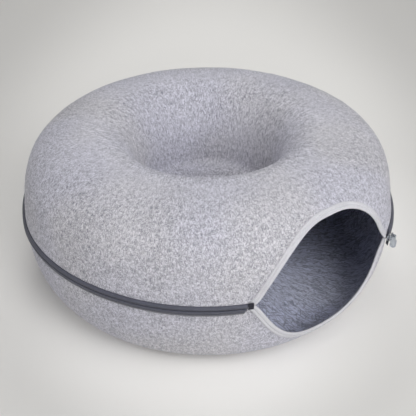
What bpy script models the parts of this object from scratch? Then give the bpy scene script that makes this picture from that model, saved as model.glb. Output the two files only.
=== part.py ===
"""Round felt cat cave: two moulded felt shells zipped together round a ring-shaped tunnel.

Metres, +Z up. The origin is on the ring's axis at the ground. The entrance faces ENTRANCE_AZIMUTH,
measured from +X towards +Y, and the zip runs round the outside from one of its corners to the other.
"""

import math

import bmesh
import bpy
from mathutils import Vector

# Overall sizes
ZIP_RADIUS = 0.250
FELT_RADIUS = ZIP_RADIUS - 0.00375
CREST_HEIGHT = 0.205
ZIP_HEIGHT = 0.110
FELT_THICKNESS = 0.0045
SHELL_GAP = 0.0022  # from the zip's plane to the cut edge of each shell
CLEARANCE = 0.0003

# Upper shell: outer wall up to the crest, funnel down to the well's floor
CREST_RADIUS = 0.1485
OUTER_POWER = 2.5
WELL_RADIUS = 0.090
FUNNEL_POWER = 2.4
WELL_FLOOR_HEIGHT = 0.0935
WELL_FILLET = 0.007

# Lower shell: steep outer wall, flat resting ring, inner wall and flange under the well's floor
REST_OUTER_RADIUS = 0.165
REST_INNER_RADIUS = 0.124
LOWER_POWER = 3.15
INNER_WALL_POWER = 3.0
FLANGE_RADIUS = 0.074
FLANGE_FILLET = 0.006

# Entrance: a pointed oval, half cut from each shell. Powers give the fullness of each arm.
ENTRANCE_AZIMUTH = math.radians(-53.4)
ENTRANCE_HALF_ANGLE = math.radians(24.6)
CORNER_PINCH = 0.5
PINCH_POWER = 8
ARCH_FORM = {  # side of the zip: (rise, power of the left arm, power of the right arm)
    1: (0.0735, 2.4, 3.0),
    -1: (0.0740, 3.0, 2.4),
}

# Binding folded round the cut edge
BINDING_WIDTH = 0.008
BINDING_THICKNESS = 0.0010
BINDING_GAP = 0.0009

# Zip. Depths are counted inwards from the zip's radius, heights from the zip's plane.
TAPE_THICKNESS = 0.0012
TAPE_LINE = (  # depth, height
    (0.00270, 0.0059),
    (0.00150, 0.0046),
    (0.00075, 0.0028),
    (0.00065, 0.0008),
)
COIL_DEPTHS = (0.0041, 0.0019)
COIL_HEIGHTS = (-0.0017, 0.0017)
ZIP_ENDS = (math.radians(-25.55), math.radians(280.2))
TAB_AZIMUTHS = (math.radians(280.28), math.radians(281.5))
TAB_DEPTHS = (0.0017, 0.0005)
TAB_HEIGHTS = (-0.0022, 0.0064)
TAIL_SIZE = Vector((0.0010, 0.0030, 0.0085))
TAIL_BEVEL = 0.0003
TAIL_AZIMUTH = math.radians(-28.05)
TAIL_DEPTH = 0.0012
TAIL_HEIGHT = -0.00815

# Slider: sizes along the radius, along the zip and upwards
SLIDER_AZIMUTH = math.radians(-26.65)
SLIDER_RADIUS = ZIP_RADIUS + 0.0005
SLIDER_SIZE = Vector((0.0046, 0.0090, 0.0072))
SLIDER_BEVEL = 0.0009
BRIDGE_SIZE = Vector((0.0032, 0.0072, 0.0022))
BRIDGE_BAR = 0.0014

# Pull: it hangs from the bridge's bar with its face across the zip
PULL_THICKNESS = 0.0018
PULL_RIM = 0.0011
PULL_WINDOW_HEIGHT = 0.0030
PULL_HALF_WIDTH = 0.0036
PULL_SHOULDERS = (-0.0042, -0.0056)
PULL_LENGTH = 0.0175

# Fineness
SECTOR_STEPS = 22
ROUND_STEPS = 34
OUTER_ROWS = (0.0, 0.06, 0.16, 0.30, 0.47, 0.65, 0.83, 1.0)
FUNNEL_STEPS = 6
INNER_WALL_STEPS = 4
FILLET_STEPS = 2
BLOCK_SEGMENTS = 2
FULL_TURN = 2 * math.pi
SMOOTH_ANGLE = math.radians(40)

FINISHES = {  # name: (colour, roughness, metallic)
    "heather felt": ((0.52, 0.52, 0.56), 0.95, 0.0),
    "binding cloth": ((0.68, 0.68, 0.70), 0.90, 0.0),
    "zip tape": ((0.09, 0.10, 0.14), 0.80, 0.0),
    "zip coil": ((0.03, 0.03, 0.05), 0.50, 0.0),
    "slider metal": ((0.75, 0.77, 0.80), 0.25, 1.0),
}


def principled(name):
    """A plain material of one colour, from the table of finishes."""
    colour, roughness, metallic = FINISHES[name]
    material = bpy.data.materials.new(name)
    material.use_nodes = True
    shader = material.node_tree.nodes["Principled BSDF"]
    shader.inputs["Base Color"].default_value = (*colour, 1.0)
    shader.inputs["Roughness"].default_value = roughness
    shader.inputs["Metallic"].default_value = metallic
    material.diffuse_color = (*colour, 1.0)
    return material


def on_ring(azimuth, radius, height):
    """The point at this azimuth and radius, with its height counted from the zip's plane."""
    return Vector((radius * math.cos(azimuth), radius * math.sin(azimuth), ZIP_HEIGHT + height))


def radial(azimuth):
    """The level unit vector that points out from the axis at this azimuth."""
    return Vector((math.cos(azimuth), math.sin(azimuth), 0.0))


def quarter_point(centre_radius, reach, rise, power, angle):
    """Radius and height on a quarter of a superellipse: angle 0 at its side, a quarter turn at its crest."""
    across = math.cos(angle) ** (2 / power) if angle < math.pi / 2 else 0.0
    return centre_radius + reach * across, rise * math.sin(angle) ** (2 / power)


def outer_wall(side):
    """Centre radius, reach, rise and power of the outer wall above (1) or below (-1) the zip."""
    if side > 0:
        return CREST_RADIUS, FELT_RADIUS - CREST_RADIUS, CREST_HEIGHT - ZIP_HEIGHT, OUTER_POWER
    return REST_OUTER_RADIUS, FELT_RADIUS - REST_OUTER_RADIUS, ZIP_HEIGHT, LOWER_POWER


def wall_angle(side, height):
    """The superellipse's angle at this distance from the zip's plane."""
    _, _, rise, power = outer_wall(side)
    return math.asin(min(1.0, height / rise) ** (power / 2))


def wall_point(side, azimuth, height):
    """A point of the outer wall and its outward normal, at this distance from the zip's plane."""
    centre_radius, reach, rise, power = outer_wall(side)
    radius, _ = quarter_point(centre_radius, reach, rise, power, wall_angle(side, height))
    outwards = ((radius - centre_radius) / reach) ** (power - 1) / reach
    upwards = side * (height / rise) ** (power - 1) / rise
    normal = (radial(azimuth) * outwards + Vector((0.0, 0.0, upwards))).normalized()
    return on_ring(azimuth, radius, side * height), normal


def edge_height(side, across):
    """Distance of a shell's cut edge from the zip's plane; across runs from -1 to 1 over the entrance."""
    rise, left_power, right_power = ARCH_FORM[side]
    share = abs(across)
    arch = 1 - share ** (left_power if across < 0 else right_power)
    pinch = 1 - CORNER_PINCH * share**PINCH_POWER
    return SHELL_GAP + (rise - SHELL_GAP) * arch * pinch


def sector_columns():
    """Azimuth and place across the entrance of each of its columns, which crowd towards the corners."""
    evenly = [-1 + 2 * step / SECTOR_STEPS for step in range(SECTOR_STEPS + 1)]
    shares = [(place + math.sin(place * math.pi / 2)) / 2 for place in evenly]
    return [(ENTRANCE_AZIMUTH + share * ENTRANCE_HALF_ANGLE, share) for share in shares]


def round_azimuths(start=None, end=None):
    """Azimuths of the columns from the right corner round the back to the left one, cut to start and end."""
    first = ENTRANCE_AZIMUTH + ENTRANCE_HALF_ANGLE
    span = FULL_TURN - 2 * ENTRANCE_HALF_ANGLE
    azimuths = [first + span * step / ROUND_STEPS for step in range(ROUND_STEPS + 1)]
    if start is None:
        return azimuths
    return [start] + [azimuth for azimuth in azimuths if start < azimuth < end] + [end]


def shell_columns(side):
    """Azimuth and edge height of every column of a shell, once round."""
    entrance = [(azimuth, edge_height(side, share)) for azimuth, share in sector_columns()]
    return entrance + [(azimuth, SHELL_GAP) for azimuth in round_azimuths()[1:-1]]


def outer_profile(side, start_height):
    """Radius and height of the outer wall's rows, from the cut edge to the crest or the resting ring."""
    start = wall_angle(side, start_height)
    angles = [start + (math.pi / 2 - start) * share for share in OUTER_ROWS]
    rows = [quarter_point(*outer_wall(side), angle) for angle in angles]
    return [(radius, side * height) for radius, height in rows]


def turned_arc(centre, radius, start, end, steps):
    """Points on an arc in the radius and height plane, both ends included."""
    angles = [start + (end - start) * step / steps for step in range(steps + 1)]
    return [(centre[0] + radius * math.cos(a), centre[1] + radius * math.sin(a)) for a in angles]


def funnel_profile():
    """From the crest down the funnel to the well's floor, without the crest and the centre."""
    rise = CREST_HEIGHT - ZIP_HEIGHT
    shares = [1 - step / FUNNEL_STEPS for step in range(1, FUNNEL_STEPS + 1)]
    rows = [
        quarter_point(CREST_RADIUS, WELL_RADIUS - CREST_RADIUS, rise, FUNNEL_POWER, share * math.pi / 2)
        for share in shares
    ]
    floor = WELL_FLOOR_HEIGHT - ZIP_HEIGHT
    centre = (WELL_RADIUS - WELL_FILLET, floor + WELL_FILLET)
    return rows + turned_arc(centre, WELL_FILLET, 0, -math.pi / 2, FILLET_STEPS)


def inner_wall_profile():
    """From the resting ring's inner edge up the inner wall and in along the flange."""
    flange_height = WELL_FLOOR_HEIGHT - FELT_THICKNESS - CLEARANCE - FELT_THICKNESS
    rise = flange_height - FLANGE_FILLET
    wall_radius = WELL_RADIUS
    reach = wall_radius - REST_INNER_RADIUS
    rows = []
    for step in range(INNER_WALL_STEPS + 1):
        angle = math.pi / 2 * (1 - step / INNER_WALL_STEPS)
        radius, depth = quarter_point(REST_INNER_RADIUS, reach, rise, INNER_WALL_POWER, angle)
        rows.append((radius, rise - depth - ZIP_HEIGHT))
    centre = (wall_radius - FLANGE_FILLET, rise - ZIP_HEIGHT)
    rows += turned_arc(centre, FLANGE_FILLET, 0, math.pi / 2, FILLET_STEPS)[1:]
    return rows + [(FLANGE_RADIUS, flange_height - ZIP_HEIGHT)]


def sheet_object(name, material, rows, closed_round=False, pole=None):
    """A sheet from rows of points, one row for each column of cloth; pole is a last point they all share."""
    mesh = bmesh.new()
    grid = [[mesh.verts.new(point) for point in row] for row in rows]
    pole_vert = mesh.verts.new(pole) if pole else None
    pairs = list(zip(grid, grid[1:] + grid[:1])) if closed_round else list(zip(grid, grid[1:]))
    for row, following in pairs:
        for low, high, high_next, low_next in zip(row, row[1:], following[1:], following):
            mesh.faces.new((low, low_next, high_next, high))
        if pole_vert:
            mesh.faces.new((row[-1], following[-1], pole_vert))
    data = bpy.data.meshes.new(name)
    mesh.to_mesh(data)
    mesh.free()
    data.materials.append(material)
    data.shade_smooth()
    data.set_sharp_from_angle(angle=SMOOTH_ANGLE)
    result = bpy.data.objects.new(name, data)
    bpy.context.scene.collection.objects.link(result)
    return result


def thicken(sheet, thickness, offset):
    """Gives a sheet its thickness: offset -1 adds it behind the sheet, 0 half on each side."""
    solidify = sheet.modifiers.new("Thickness", "SOLIDIFY")
    solidify.thickness = thickness
    solidify.offset = offset
    solidify.use_even_offset = True
    solidify.use_quality_normals = True
    return sheet


def upper_shell(material):
    """One moulded sheet from the zip over the crest and down to the closed floor of the well."""
    funnel = funnel_profile()
    rows = []
    for azimuth, start_height in shell_columns(1):
        profile = outer_profile(1, start_height) + funnel
        rows.append([on_ring(azimuth, radius, height) for radius, height in profile])
    centre = Vector((0.0, 0.0, WELL_FLOOR_HEIGHT))
    shell = sheet_object("upper_shell", material, rows, closed_round=True, pole=centre)
    return thicken(shell, FELT_THICKNESS, -1)


def lower_shell(material):
    """One moulded sheet from the zip down the wall, across the resting ring and up the inner wall."""
    inner_wall = inner_wall_profile()
    rows = []
    for azimuth, start_height in shell_columns(-1):
        profile = outer_profile(-1, start_height) + inner_wall
        rows.append([on_ring(azimuth, radius, height) for radius, height in profile][::-1])
    shell = sheet_object("lower_shell", material, rows, closed_round=True)
    return thicken(shell, FELT_THICKNESS, -1)


def binding(name, side, material):
    """A strip folded round a shell's cut edge: outer leg, bight and inner leg at each column."""
    columns = [
        (azimuth, *wall_point(side, azimuth, edge_height(side, share)))
        for azimuth, share in sector_columns()
    ]
    lift = BINDING_GAP + BINDING_THICKNESS / 2
    sunk = FELT_THICKNESS + lift
    rows = []
    for index, (_, point, normal) in enumerate(columns):
        before = columns[max(index - 1, 0)][1]
        after = columns[min(index + 1, len(columns) - 1)][1]
        along = (after - before).normalized()
        inwards = normal.cross(along).normalized() * side
        deep = point + inwards * BINDING_WIDTH
        azimuth = math.atan2(deep.y, deep.x)
        far_point, far_normal = wall_point(side, azimuth, side * (deep.z - ZIP_HEIGHT))
        row = [
            far_point + far_normal * lift,
            point + normal * lift - inwards * lift,
            point - normal * sunk - inwards * lift,
            far_point - far_normal * sunk,
        ]
        rows.append(row if side > 0 else row[::-1])
    return thicken(sheet_object(name, material, rows), BINDING_THICKNESS, 0)


def zip_tape(name, side, material):
    """Half of the zip's tape, bulging from the felt out to the groove."""
    line = [(ZIP_RADIUS - depth, side * height) for depth, height in TAPE_LINE]
    rows = [
        [on_ring(azimuth, radius, height) for radius, height in line[:: -side]]
        for azimuth in round_azimuths(*ZIP_ENDS)
    ]
    return thicken(sheet_object(name, material, rows), TAPE_THICKNESS, 0)


def ring_bar(name, depths, heights, azimuths, material):
    """A bar of rectangular section along part of the ring."""
    middle = ZIP_RADIUS - sum(depths) / 2
    rows = [[on_ring(azimuth, middle, height) for height in heights] for azimuth in azimuths]
    return thicken(sheet_object(name, material, rows), depths[0] - depths[1], 0)


def block_mesh(size, bevel, segments):
    """A mesh of a block with all its edges rounded, centred on the origin."""
    mesh = bmesh.new()
    bmesh.ops.create_cube(mesh, size=1.0)
    bmesh.ops.scale(mesh, vec=size, verts=mesh.verts)
    bmesh.ops.bevel(
        mesh, geom=mesh.edges, offset=bevel, segments=segments, affect="EDGES", profile=0.5
    )
    return mesh


def placed_object(name, mesh, material, azimuth, place):
    """An object from a bmesh, turned so that its X points out along this azimuth."""
    data = bpy.data.meshes.new(name)
    mesh.to_mesh(data)
    mesh.free()
    data.materials.append(material)
    data.shade_smooth()
    data.set_sharp_from_angle(angle=SMOOTH_ANGLE)
    result = bpy.data.objects.new(name, data)
    result.rotation_euler = (0.0, 0.0, azimuth)
    result.location = place
    bpy.context.scene.collection.objects.link(result)
    return result


def cutter(name, size, azimuth, place):
    """A hidden block for a Boolean."""
    mesh = bmesh.new()
    bmesh.ops.create_cube(mesh, size=1.0)
    bmesh.ops.scale(mesh, vec=size, verts=mesh.verts)
    data = bpy.data.meshes.new(name)
    mesh.to_mesh(data)
    mesh.free()
    result = bpy.data.objects.new(name, data)
    result.rotation_euler = (0.0, 0.0, azimuth)
    result.location = place
    result.hide_render = True
    result.display_type = "WIRE"
    bpy.context.scene.collection.objects.link(result)
    return result


def boolean(target, other, operation):
    """Joins or cuts with the exact solver."""
    modifier = target.modifiers.new(operation.title(), "BOOLEAN")
    modifier.object = other
    modifier.operation = operation
    modifier.solver = "EXACT"


def bar_radius():
    """The radius of the middle of the bridge's bar."""
    return SLIDER_RADIUS + SLIDER_SIZE.x / 2 + BRIDGE_SIZE.x - BRIDGE_BAR / 2


def zip_slider(material):
    """The slider's body, and on it the bridge whose bar holds the pull."""
    face = SLIDER_RADIUS + SLIDER_SIZE.x / 2
    body = placed_object(
        "zip_slider",
        block_mesh(SLIDER_SIZE, SLIDER_BEVEL, BLOCK_SEGMENTS),
        material,
        SLIDER_AZIMUTH,
        on_ring(SLIDER_AZIMUTH, SLIDER_RADIUS, 0.0),
    )
    sunk = 2 * CLEARANCE
    outer = Vector((BRIDGE_SIZE.x + sunk, BRIDGE_SIZE.y, BRIDGE_SIZE.z))
    outer_place = on_ring(SLIDER_AZIMUTH, face + (BRIDGE_SIZE.x - sunk) / 2, 0.0)
    gap = BRIDGE_SIZE.x - BRIDGE_BAR
    inner = Vector((gap, BRIDGE_SIZE.y - 2 * BRIDGE_BAR, 2 * BRIDGE_SIZE.z))
    inner_place = on_ring(SLIDER_AZIMUTH, face + gap / 2, 0.0)
    boolean(body, cutter("bridge", outer, SLIDER_AZIMUTH, outer_place), "UNION")
    boolean(body, cutter("bridge_window", inner, SLIDER_AZIMUTH, inner_place), "DIFFERENCE")
    return body


def pull_outline():
    """The pull's outline as distance out from the bar and height: narrow loop, shoulders, round end."""
    neck = BRIDGE_BAR / 2 + CLEARANCE + PULL_RIM
    top = BRIDGE_SIZE.z / 2 + CLEARANCE + PULL_RIM
    end = top - PULL_LENGTH + PULL_HALF_WIDTH
    right = turned_arc((neck - PULL_RIM, top - PULL_RIM), PULL_RIM, math.pi / 2, 0, 3)
    right += [(neck, PULL_SHOULDERS[0]), (PULL_HALF_WIDTH, PULL_SHOULDERS[1])]
    right += turned_arc((0.0, end), PULL_HALF_WIDTH, 0, -math.pi / 2, 6)
    left = [(-out, height) for out, height in reversed(right[:-1])]
    return right + left


def zip_pull(material):
    """The flat tab that hangs from the bridge's bar, with the window that the bar passes through."""
    mesh = bmesh.new()
    half = PULL_THICKNESS / 2
    front = mesh.faces.new([mesh.verts.new((out, -half, height)) for out, height in pull_outline()])
    extruded = bmesh.ops.extrude_face_region(mesh, geom=[front])["geom"]
    moved = [item for item in extruded if isinstance(item, bmesh.types.BMVert)]
    bmesh.ops.translate(mesh, vec=(0.0, PULL_THICKNESS, 0.0), verts=moved)
    bmesh.ops.recalc_face_normals(mesh, faces=mesh.faces)
    bar = on_ring(SLIDER_AZIMUTH, bar_radius(), 0.0)
    pull = placed_object("zip_pull", mesh, material, SLIDER_AZIMUTH, bar)
    window = Vector((BRIDGE_BAR + 2 * CLEARANCE, 3 * PULL_THICKNESS, PULL_WINDOW_HEIGHT))
    lowered = (BRIDGE_SIZE.z - PULL_WINDOW_HEIGHT) / 2 + CLEARANCE
    place = on_ring(SLIDER_AZIMUTH, bar_radius(), lowered)
    boolean(pull, cutter("pull_window", window, SLIDER_AZIMUTH, place), "DIFFERENCE")
    return pull


def main():
    for old in list(bpy.data.objects):
        bpy.data.objects.remove(old)
    felt = principled("heather felt")
    cloth = principled("binding cloth")
    tape = principled("zip tape")
    nylon = principled("zip coil")
    metal = principled("slider metal")
    upper_shell(felt)
    lower_shell(felt.copy())
    binding("upper_binding", 1, cloth)
    binding("lower_binding", -1, cloth.copy())
    zip_tape("zip_tape_upper", 1, tape)
    zip_tape("zip_tape_lower", -1, tape.copy())
    ring_bar("zip_coil", COIL_DEPTHS, COIL_HEIGHTS, round_azimuths(*ZIP_ENDS), nylon)
    ring_bar("zip_end_tab", TAB_DEPTHS, TAB_HEIGHTS, TAB_AZIMUTHS, tape.copy())
    placed_object(
        "zip_tail",
        block_mesh(TAIL_SIZE, TAIL_BEVEL, 1),
        tape.copy(),
        TAIL_AZIMUTH,
        on_ring(TAIL_AZIMUTH, ZIP_RADIUS - TAIL_DEPTH, TAIL_HEIGHT),
    )
    zip_slider(metal)
    zip_pull(metal.copy())


main()
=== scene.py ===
"""Looks of a round felt cat cave.

Two moulded felt shells are zipped together round a ring-shaped tunnel, with a well in the top and one bound
entrance in the side. Every piece is built on the driving sizes of the frame, in metres, with +Z up and the
origin on the ring's axis at the ground, and rides on the frame's one body.
"""

import logging
import math
from collections.abc import Iterator
from contextlib import contextmanager
from dataclasses import dataclass, field
from enum import Enum
from functools import partial, reduce

import bmesh
import bpy
import numpy as np
from mathutils import Matrix, Vector, noise


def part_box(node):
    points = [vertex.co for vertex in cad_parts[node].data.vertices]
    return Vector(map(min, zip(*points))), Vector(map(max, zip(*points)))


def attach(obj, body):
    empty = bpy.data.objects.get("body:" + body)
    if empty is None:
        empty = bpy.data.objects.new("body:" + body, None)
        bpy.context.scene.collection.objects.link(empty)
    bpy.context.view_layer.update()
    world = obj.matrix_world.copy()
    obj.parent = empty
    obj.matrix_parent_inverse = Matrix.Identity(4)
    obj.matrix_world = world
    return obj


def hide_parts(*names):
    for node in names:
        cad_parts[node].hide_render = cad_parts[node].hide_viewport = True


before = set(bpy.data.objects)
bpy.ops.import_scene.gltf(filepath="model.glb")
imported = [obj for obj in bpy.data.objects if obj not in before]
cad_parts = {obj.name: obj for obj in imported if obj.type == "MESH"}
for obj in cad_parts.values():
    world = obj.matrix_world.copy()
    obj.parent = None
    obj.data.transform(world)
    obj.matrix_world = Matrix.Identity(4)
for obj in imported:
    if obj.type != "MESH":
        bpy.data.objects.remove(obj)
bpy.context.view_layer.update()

LOG = logging.getLogger("cat_cave")
BODY = "root"
CLOTH_MAP = "cloth"
BARE = "bare"
INSIDE = "inside"
OUTWARD = "outward"
DENSE = 400
FULL_TURN = 2 * math.pi
QUARTER_TURN = math.pi / 2

Colour = tuple[float, float, float]
Value = float | tuple | str | bpy.types.NodeSocket
Outline = list[tuple[float, float]]


class Side(Enum):
    """Above or below the zip's plane."""

    UPPER = 1
    LOWER = -1

    @property
    def label(self) -> str:
        """The side's word in the names of pieces."""
        return self.name.lower()


class Held(Enum):
    """How a sheet of cloth is held."""

    STRETCHED = "stretched"
    FOLDED = "folded"


# ---------------------------------------------------------------------------------------------------------
# Lines and angles
# ---------------------------------------------------------------------------------------------------------


def unit(vectors: np.ndarray) -> np.ndarray:
    """Vectors of length 1 in the same directions."""
    return vectors / np.linalg.norm(vectors, axis=-1, keepdims=True)


def run_along(lines: np.ndarray) -> np.ndarray:
    """Distance of each point from the first one along its line, for one line or for several."""
    steps = np.linalg.norm(np.diff(lines, axis=-2), axis=-1)
    return np.concatenate([np.zeros((*steps.shape[:-1], 1)), np.cumsum(steps, axis=-1)], axis=-1)


def outward_of(azimuths: np.ndarray | float) -> np.ndarray:
    """Level unit vectors away from the axis."""
    return np.stack([np.cos(azimuths), np.sin(azimuths), np.zeros_like(azimuths)], axis=-1)


def angle_from(azimuths: np.ndarray, middle: float) -> np.ndarray:
    """Angles counted from a middle one, between a half turn back and a half turn on."""
    return (azimuths - middle + math.pi) % FULL_TURN - math.pi


def smooth_share(value: np.ndarray | float) -> np.ndarray | float:
    """An S-shaped share from 0 to 1 for values from 0 to 1."""
    share = np.clip(value, 0.0, 1.0)
    return share * share * (3.0 - 2.0 * share)


def resample(line: np.ndarray, count: int) -> np.ndarray:
    """Spaces points evenly along a line.

    Args:
        line: points of the line, one a row.
        count: how many points to give back, both ends included.

    Returns:
        The evenly spaced points.
    """
    along = run_along(line)
    wanted = np.linspace(0.0, along[-1], count)
    return np.stack([np.interp(wanted, along, line[:, axis]) for axis in range(line.shape[1])], axis=1)


def arc(
    centre: tuple[float, float], radius: float, start: float, end: float, count: int = DENSE
) -> np.ndarray:
    """Points on an arc in the radius and height plane.

    Args:
        centre: radius and height of the arc's centre.
        radius: the arc's own radius.
        start: first angle, from the outward level direction.
        end: last angle.
        count: how many points.

    Returns:
        One point a row.
    """
    return np.array(centre) + radius * outward_of(np.linspace(start, end, count))[:, :2]


def ripple(points: np.ndarray, wavelength: float, seed: float) -> np.ndarray:
    """Smooth random heights between about -1 and 1.

    Args:
        points: places in metres, in any array shape that ends in 3.
        wavelength: size of the bumps in metres.
        seed: shifts the pattern.

    Returns:
        One height for each point.
    """
    flat = points.reshape(-1, 3) / wavelength + seed
    return np.array([noise.noise(place) for place in flat.tolist()]).reshape(points.shape[:-1])


@dataclass(frozen=True)
class Quarter:
    """A quarter of a superellipse in the radius and height plane: level at its side, upright at its crest."""

    centre: float
    reach: float
    rise: float
    power: float

    def line(self, start: float, end: float, count: int = DENSE) -> np.ndarray:
        """Points on the curve.

        Args:
            start: first angle, 0 at the side and a quarter turn at the crest.
            end: last angle.
            count: how many points.

        Returns:
            Radius and height of each point.
        """
        angles = np.linspace(start, end, count)
        across = np.clip(np.cos(angles), 0.0, 1.0) ** (2 / self.power)
        upright = np.clip(np.sin(angles), 0.0, 1.0) ** (2 / self.power)
        return np.stack([self.centre + self.reach * across, self.rise * upright], axis=1)

    def angle_of(self, height: float) -> float:
        """The angle at which the curve has this height."""
        return math.asin(min(1.0, height / self.rise) ** (self.power / 2))

    def at_height(self, height: np.ndarray) -> tuple[np.ndarray, np.ndarray, np.ndarray]:
        """The curve at given heights.

        Args:
            height: distances from the level of the side.

        Returns:
            Radius, and the outward and upward parts of the unit normal.
        """
        share = np.clip(height / self.rise, 0.0, 0.9999)
        across = (1 - share**self.power) ** (1 / self.power)
        outwards = across ** (self.power - 1) / abs(self.reach)
        upwards = share ** (self.power - 1) / self.rise
        size = np.hypot(outwards, upwards)
        return self.centre + self.reach * across, outwards / size, upwards / size


# ---------------------------------------------------------------------------------------------------------
# Shape of the cave
# ---------------------------------------------------------------------------------------------------------


@dataclass(frozen=True)
class Arch:
    """Half of the entrance: how far the felt's cut edge rises from the zip, and how full each arm is."""

    rise: float
    left_power: float
    right_power: float


@dataclass(frozen=True)
class Dip:
    """A place where the cloth has sagged or bulged: where, how wide (degrees), how far down, how far out."""

    azimuth: float
    spread: float
    drop: float
    bulge: float = 0.0
    height: float = 0.0
    reach: float = 0.045


@dataclass(frozen=True)
class CaveForm:
    """Driving sizes of the two shells. Heights in lines are counted from the zip's plane."""

    crest_height: float = field(default_factory=lambda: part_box("upper_shell")[1].z)
    zip_height: float = field(default_factory=lambda: sum(corner.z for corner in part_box("zip_coil")) / 2)
    felt_radius: float = 0.24625
    felt_thickness: float = 0.0045
    shell_gap: float = 0.0022
    clearance: float = 0.0003
    crest_radius: float = 0.1485
    outer_power: float = 2.5
    well_radius: float = 0.090
    funnel_power: float = 2.4
    well_floor: float = 0.0935
    well_fillet: float = 0.007
    rest_outer: float = 0.165
    rest_inner: float = 0.124
    lower_power: float = 3.15
    inner_wall_power: float = 3.0
    flange_radius: float = 0.074
    flange_fillet: float = 0.006
    entrance_azimuth: float = math.radians(-53.4)
    entrance_half_angle: float = math.radians(24.6)
    corner_pinch: float = 0.5
    pinch_power: float = 8.0
    upper_arch: Arch = Arch(0.0735, 2.4, 3.0)
    lower_arch: Arch = Arch(0.0740, 3.0, 2.4)
    pressed_thickness: float = 0.0009
    press_width: float = 0.016
    upper_pinch: float = 0.0018
    lower_pinch: float = 0.0012
    lower_pinch_end: float = 0.035
    pinch_start: float = 0.05
    pinch_rise: float = 0.022
    pinch_top: float = 0.030
    pinch_fade: float = 0.055
    outer_fade: float = 1.6
    dips: tuple[Dip, ...] = (
        Dip(204.0, 32.0, 0.0048),
        Dip(198.0, 12.0, 0.0032, reach=0.03),
        Dip(262.0, 22.0, 0.0018, reach=0.02),
        Dip(-18.0, 26.0, 0.0030),
        Dip(2.0, 14.0, 0.0030, reach=0.03),
        Dip(-27.0, 14.0, 0.0, 0.0024, reach=0.014),
        Dip(0.0, 40.0, 0.0, -0.0012, height=0.035, reach=0.034),
    )

    def outer(self, side: Side) -> Quarter:
        """The outer wall above or below the zip."""
        if side is Side.UPPER:
            rise = self.crest_height - self.zip_height
            return Quarter(self.crest_radius, self.felt_radius - self.crest_radius, rise, self.outer_power)
        return Quarter(self.rest_outer, self.felt_radius - self.rest_outer, self.zip_height, self.lower_power)

    def edge_height(self, side: Side, across: np.ndarray) -> np.ndarray:
        """Distance of a shell's cut edge from the zip's plane.

        Args:
            side: which shell.
            across: places over the entrance, from -1 at its left corner to 1 at its right one.

        Returns:
            The distances; outside the entrance the zip's own gap.
        """
        arch = self.upper_arch if side is Side.UPPER else self.lower_arch
        share = np.clip(np.abs(across), 0.0, 1.0)
        power = np.where(across < 0, arch.left_power, arch.right_power)
        pinch = 1 - self.corner_pinch * share**self.pinch_power
        return self.shell_gap + (arch.rise - self.shell_gap) * (1 - share**power) * pinch

    def drawn_in(self, side: Side, height: np.ndarray) -> np.ndarray:
        """How far the zip draws the wall in beside it.

        Args:
            side: which shell.
            height: distances from the zip's plane.

        Returns:
            The distances towards the axis.
        """
        if side is Side.LOWER:
            return self.lower_pinch * (1 - smooth_share(height / self.lower_pinch_end))
        rising = self.pinch_start + (1 - self.pinch_start) * smooth_share(height / self.pinch_rise)
        return self.upper_pinch * rising * (1 - smooth_share((height - self.pinch_top) / self.pinch_fade))

    def thickness(self, distance: np.ndarray | float) -> np.ndarray:
        """The felt's thickness at a distance from its cut edge, where the binding presses it thin."""
        share = smooth_share(distance / self.press_width)
        return self.pressed_thickness + (self.felt_thickness - self.pressed_thickness) * share

    def across(self, azimuth: np.ndarray) -> np.ndarray:
        """Places over the entrance for azimuths, beyond 1 outside it."""
        return angle_from(azimuth, self.entrance_azimuth) / self.entrance_half_angle

    def on_wall(self, side: Side, azimuth: np.ndarray, height: np.ndarray) -> tuple[np.ndarray, np.ndarray]:
        """Points of the outer wall.

        Args:
            side: which shell.
            azimuth: angles round the axis.
            height: distances from the zip's plane.

        Returns:
            The points and their outward unit normals.
        """
        radius, outwards, upwards = self.outer(side).at_height(height)
        step = 0.0002
        bend = (self.drawn_in(side, height + step) - self.drawn_in(side, height)) / step
        slope = upwards / outwards + bend
        steepness = np.hypot(1.0, slope)
        points = outward_of(azimuth) * (radius - self.drawn_in(side, height))[..., None]
        points[..., 2] = self.zip_height + side.value * height
        normals = outward_of(azimuth) / steepness[..., None]
        normals[..., 2] = side.value * slope / steepness
        return points, normals

    def settle(self, points: np.ndarray) -> np.ndarray:
        """Lets the wall sag and bulge where that of the real one does.

        Args:
            points: places in the frame.

        Returns:
            The settled places.
        """
        azimuth = np.arctan2(points[..., 1], points[..., 0])
        radius = np.hypot(points[..., 0], points[..., 1])
        depth = (radius - self.crest_radius) / (self.felt_radius - self.crest_radius)
        outer_share = smooth_share(depth * self.outer_fade)
        height = points[..., 2] - self.zip_height
        settled = points.copy()
        for dip in self.dips:
            turned = angle_from(azimuth, math.radians(dip.azimuth)) / math.radians(dip.spread)
            share = np.exp(-(turned**2) - ((height - dip.height) / dip.reach) ** 2) * outer_share
            settled[..., 2] -= dip.drop * share
            settled[..., :2] *= (1 + dip.bulge * share / np.maximum(radius, 0.01))[..., None]
        return settled


# ---------------------------------------------------------------------------------------------------------
# Meshes
# ---------------------------------------------------------------------------------------------------------


def link_piece(
    name: str, mesh: bpy.types.Mesh, material: bpy.types.Material | None = None
) -> bpy.types.Object:
    """Puts a mesh in the scene.

    Args:
        name: the piece's name.
        mesh: its mesh, in the frame's coordinates.
        material: its finish, or None where the mesh has one.

    Returns:
        The new object, at the origin.
    """
    if material is not None:
        mesh.materials.clear()
        mesh.materials.append(material)
    piece = bpy.data.objects.new(name, mesh)
    bpy.context.scene.collection.objects.link(piece)
    return piece


@contextmanager
def editing(mesh: bpy.types.Mesh) -> Iterator[bmesh.types.BMesh]:
    """Opens a mesh for changes and writes them back at the end."""
    work = bmesh.new()
    work.from_mesh(mesh)
    yield work
    work.to_mesh(mesh)
    work.free()


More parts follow.
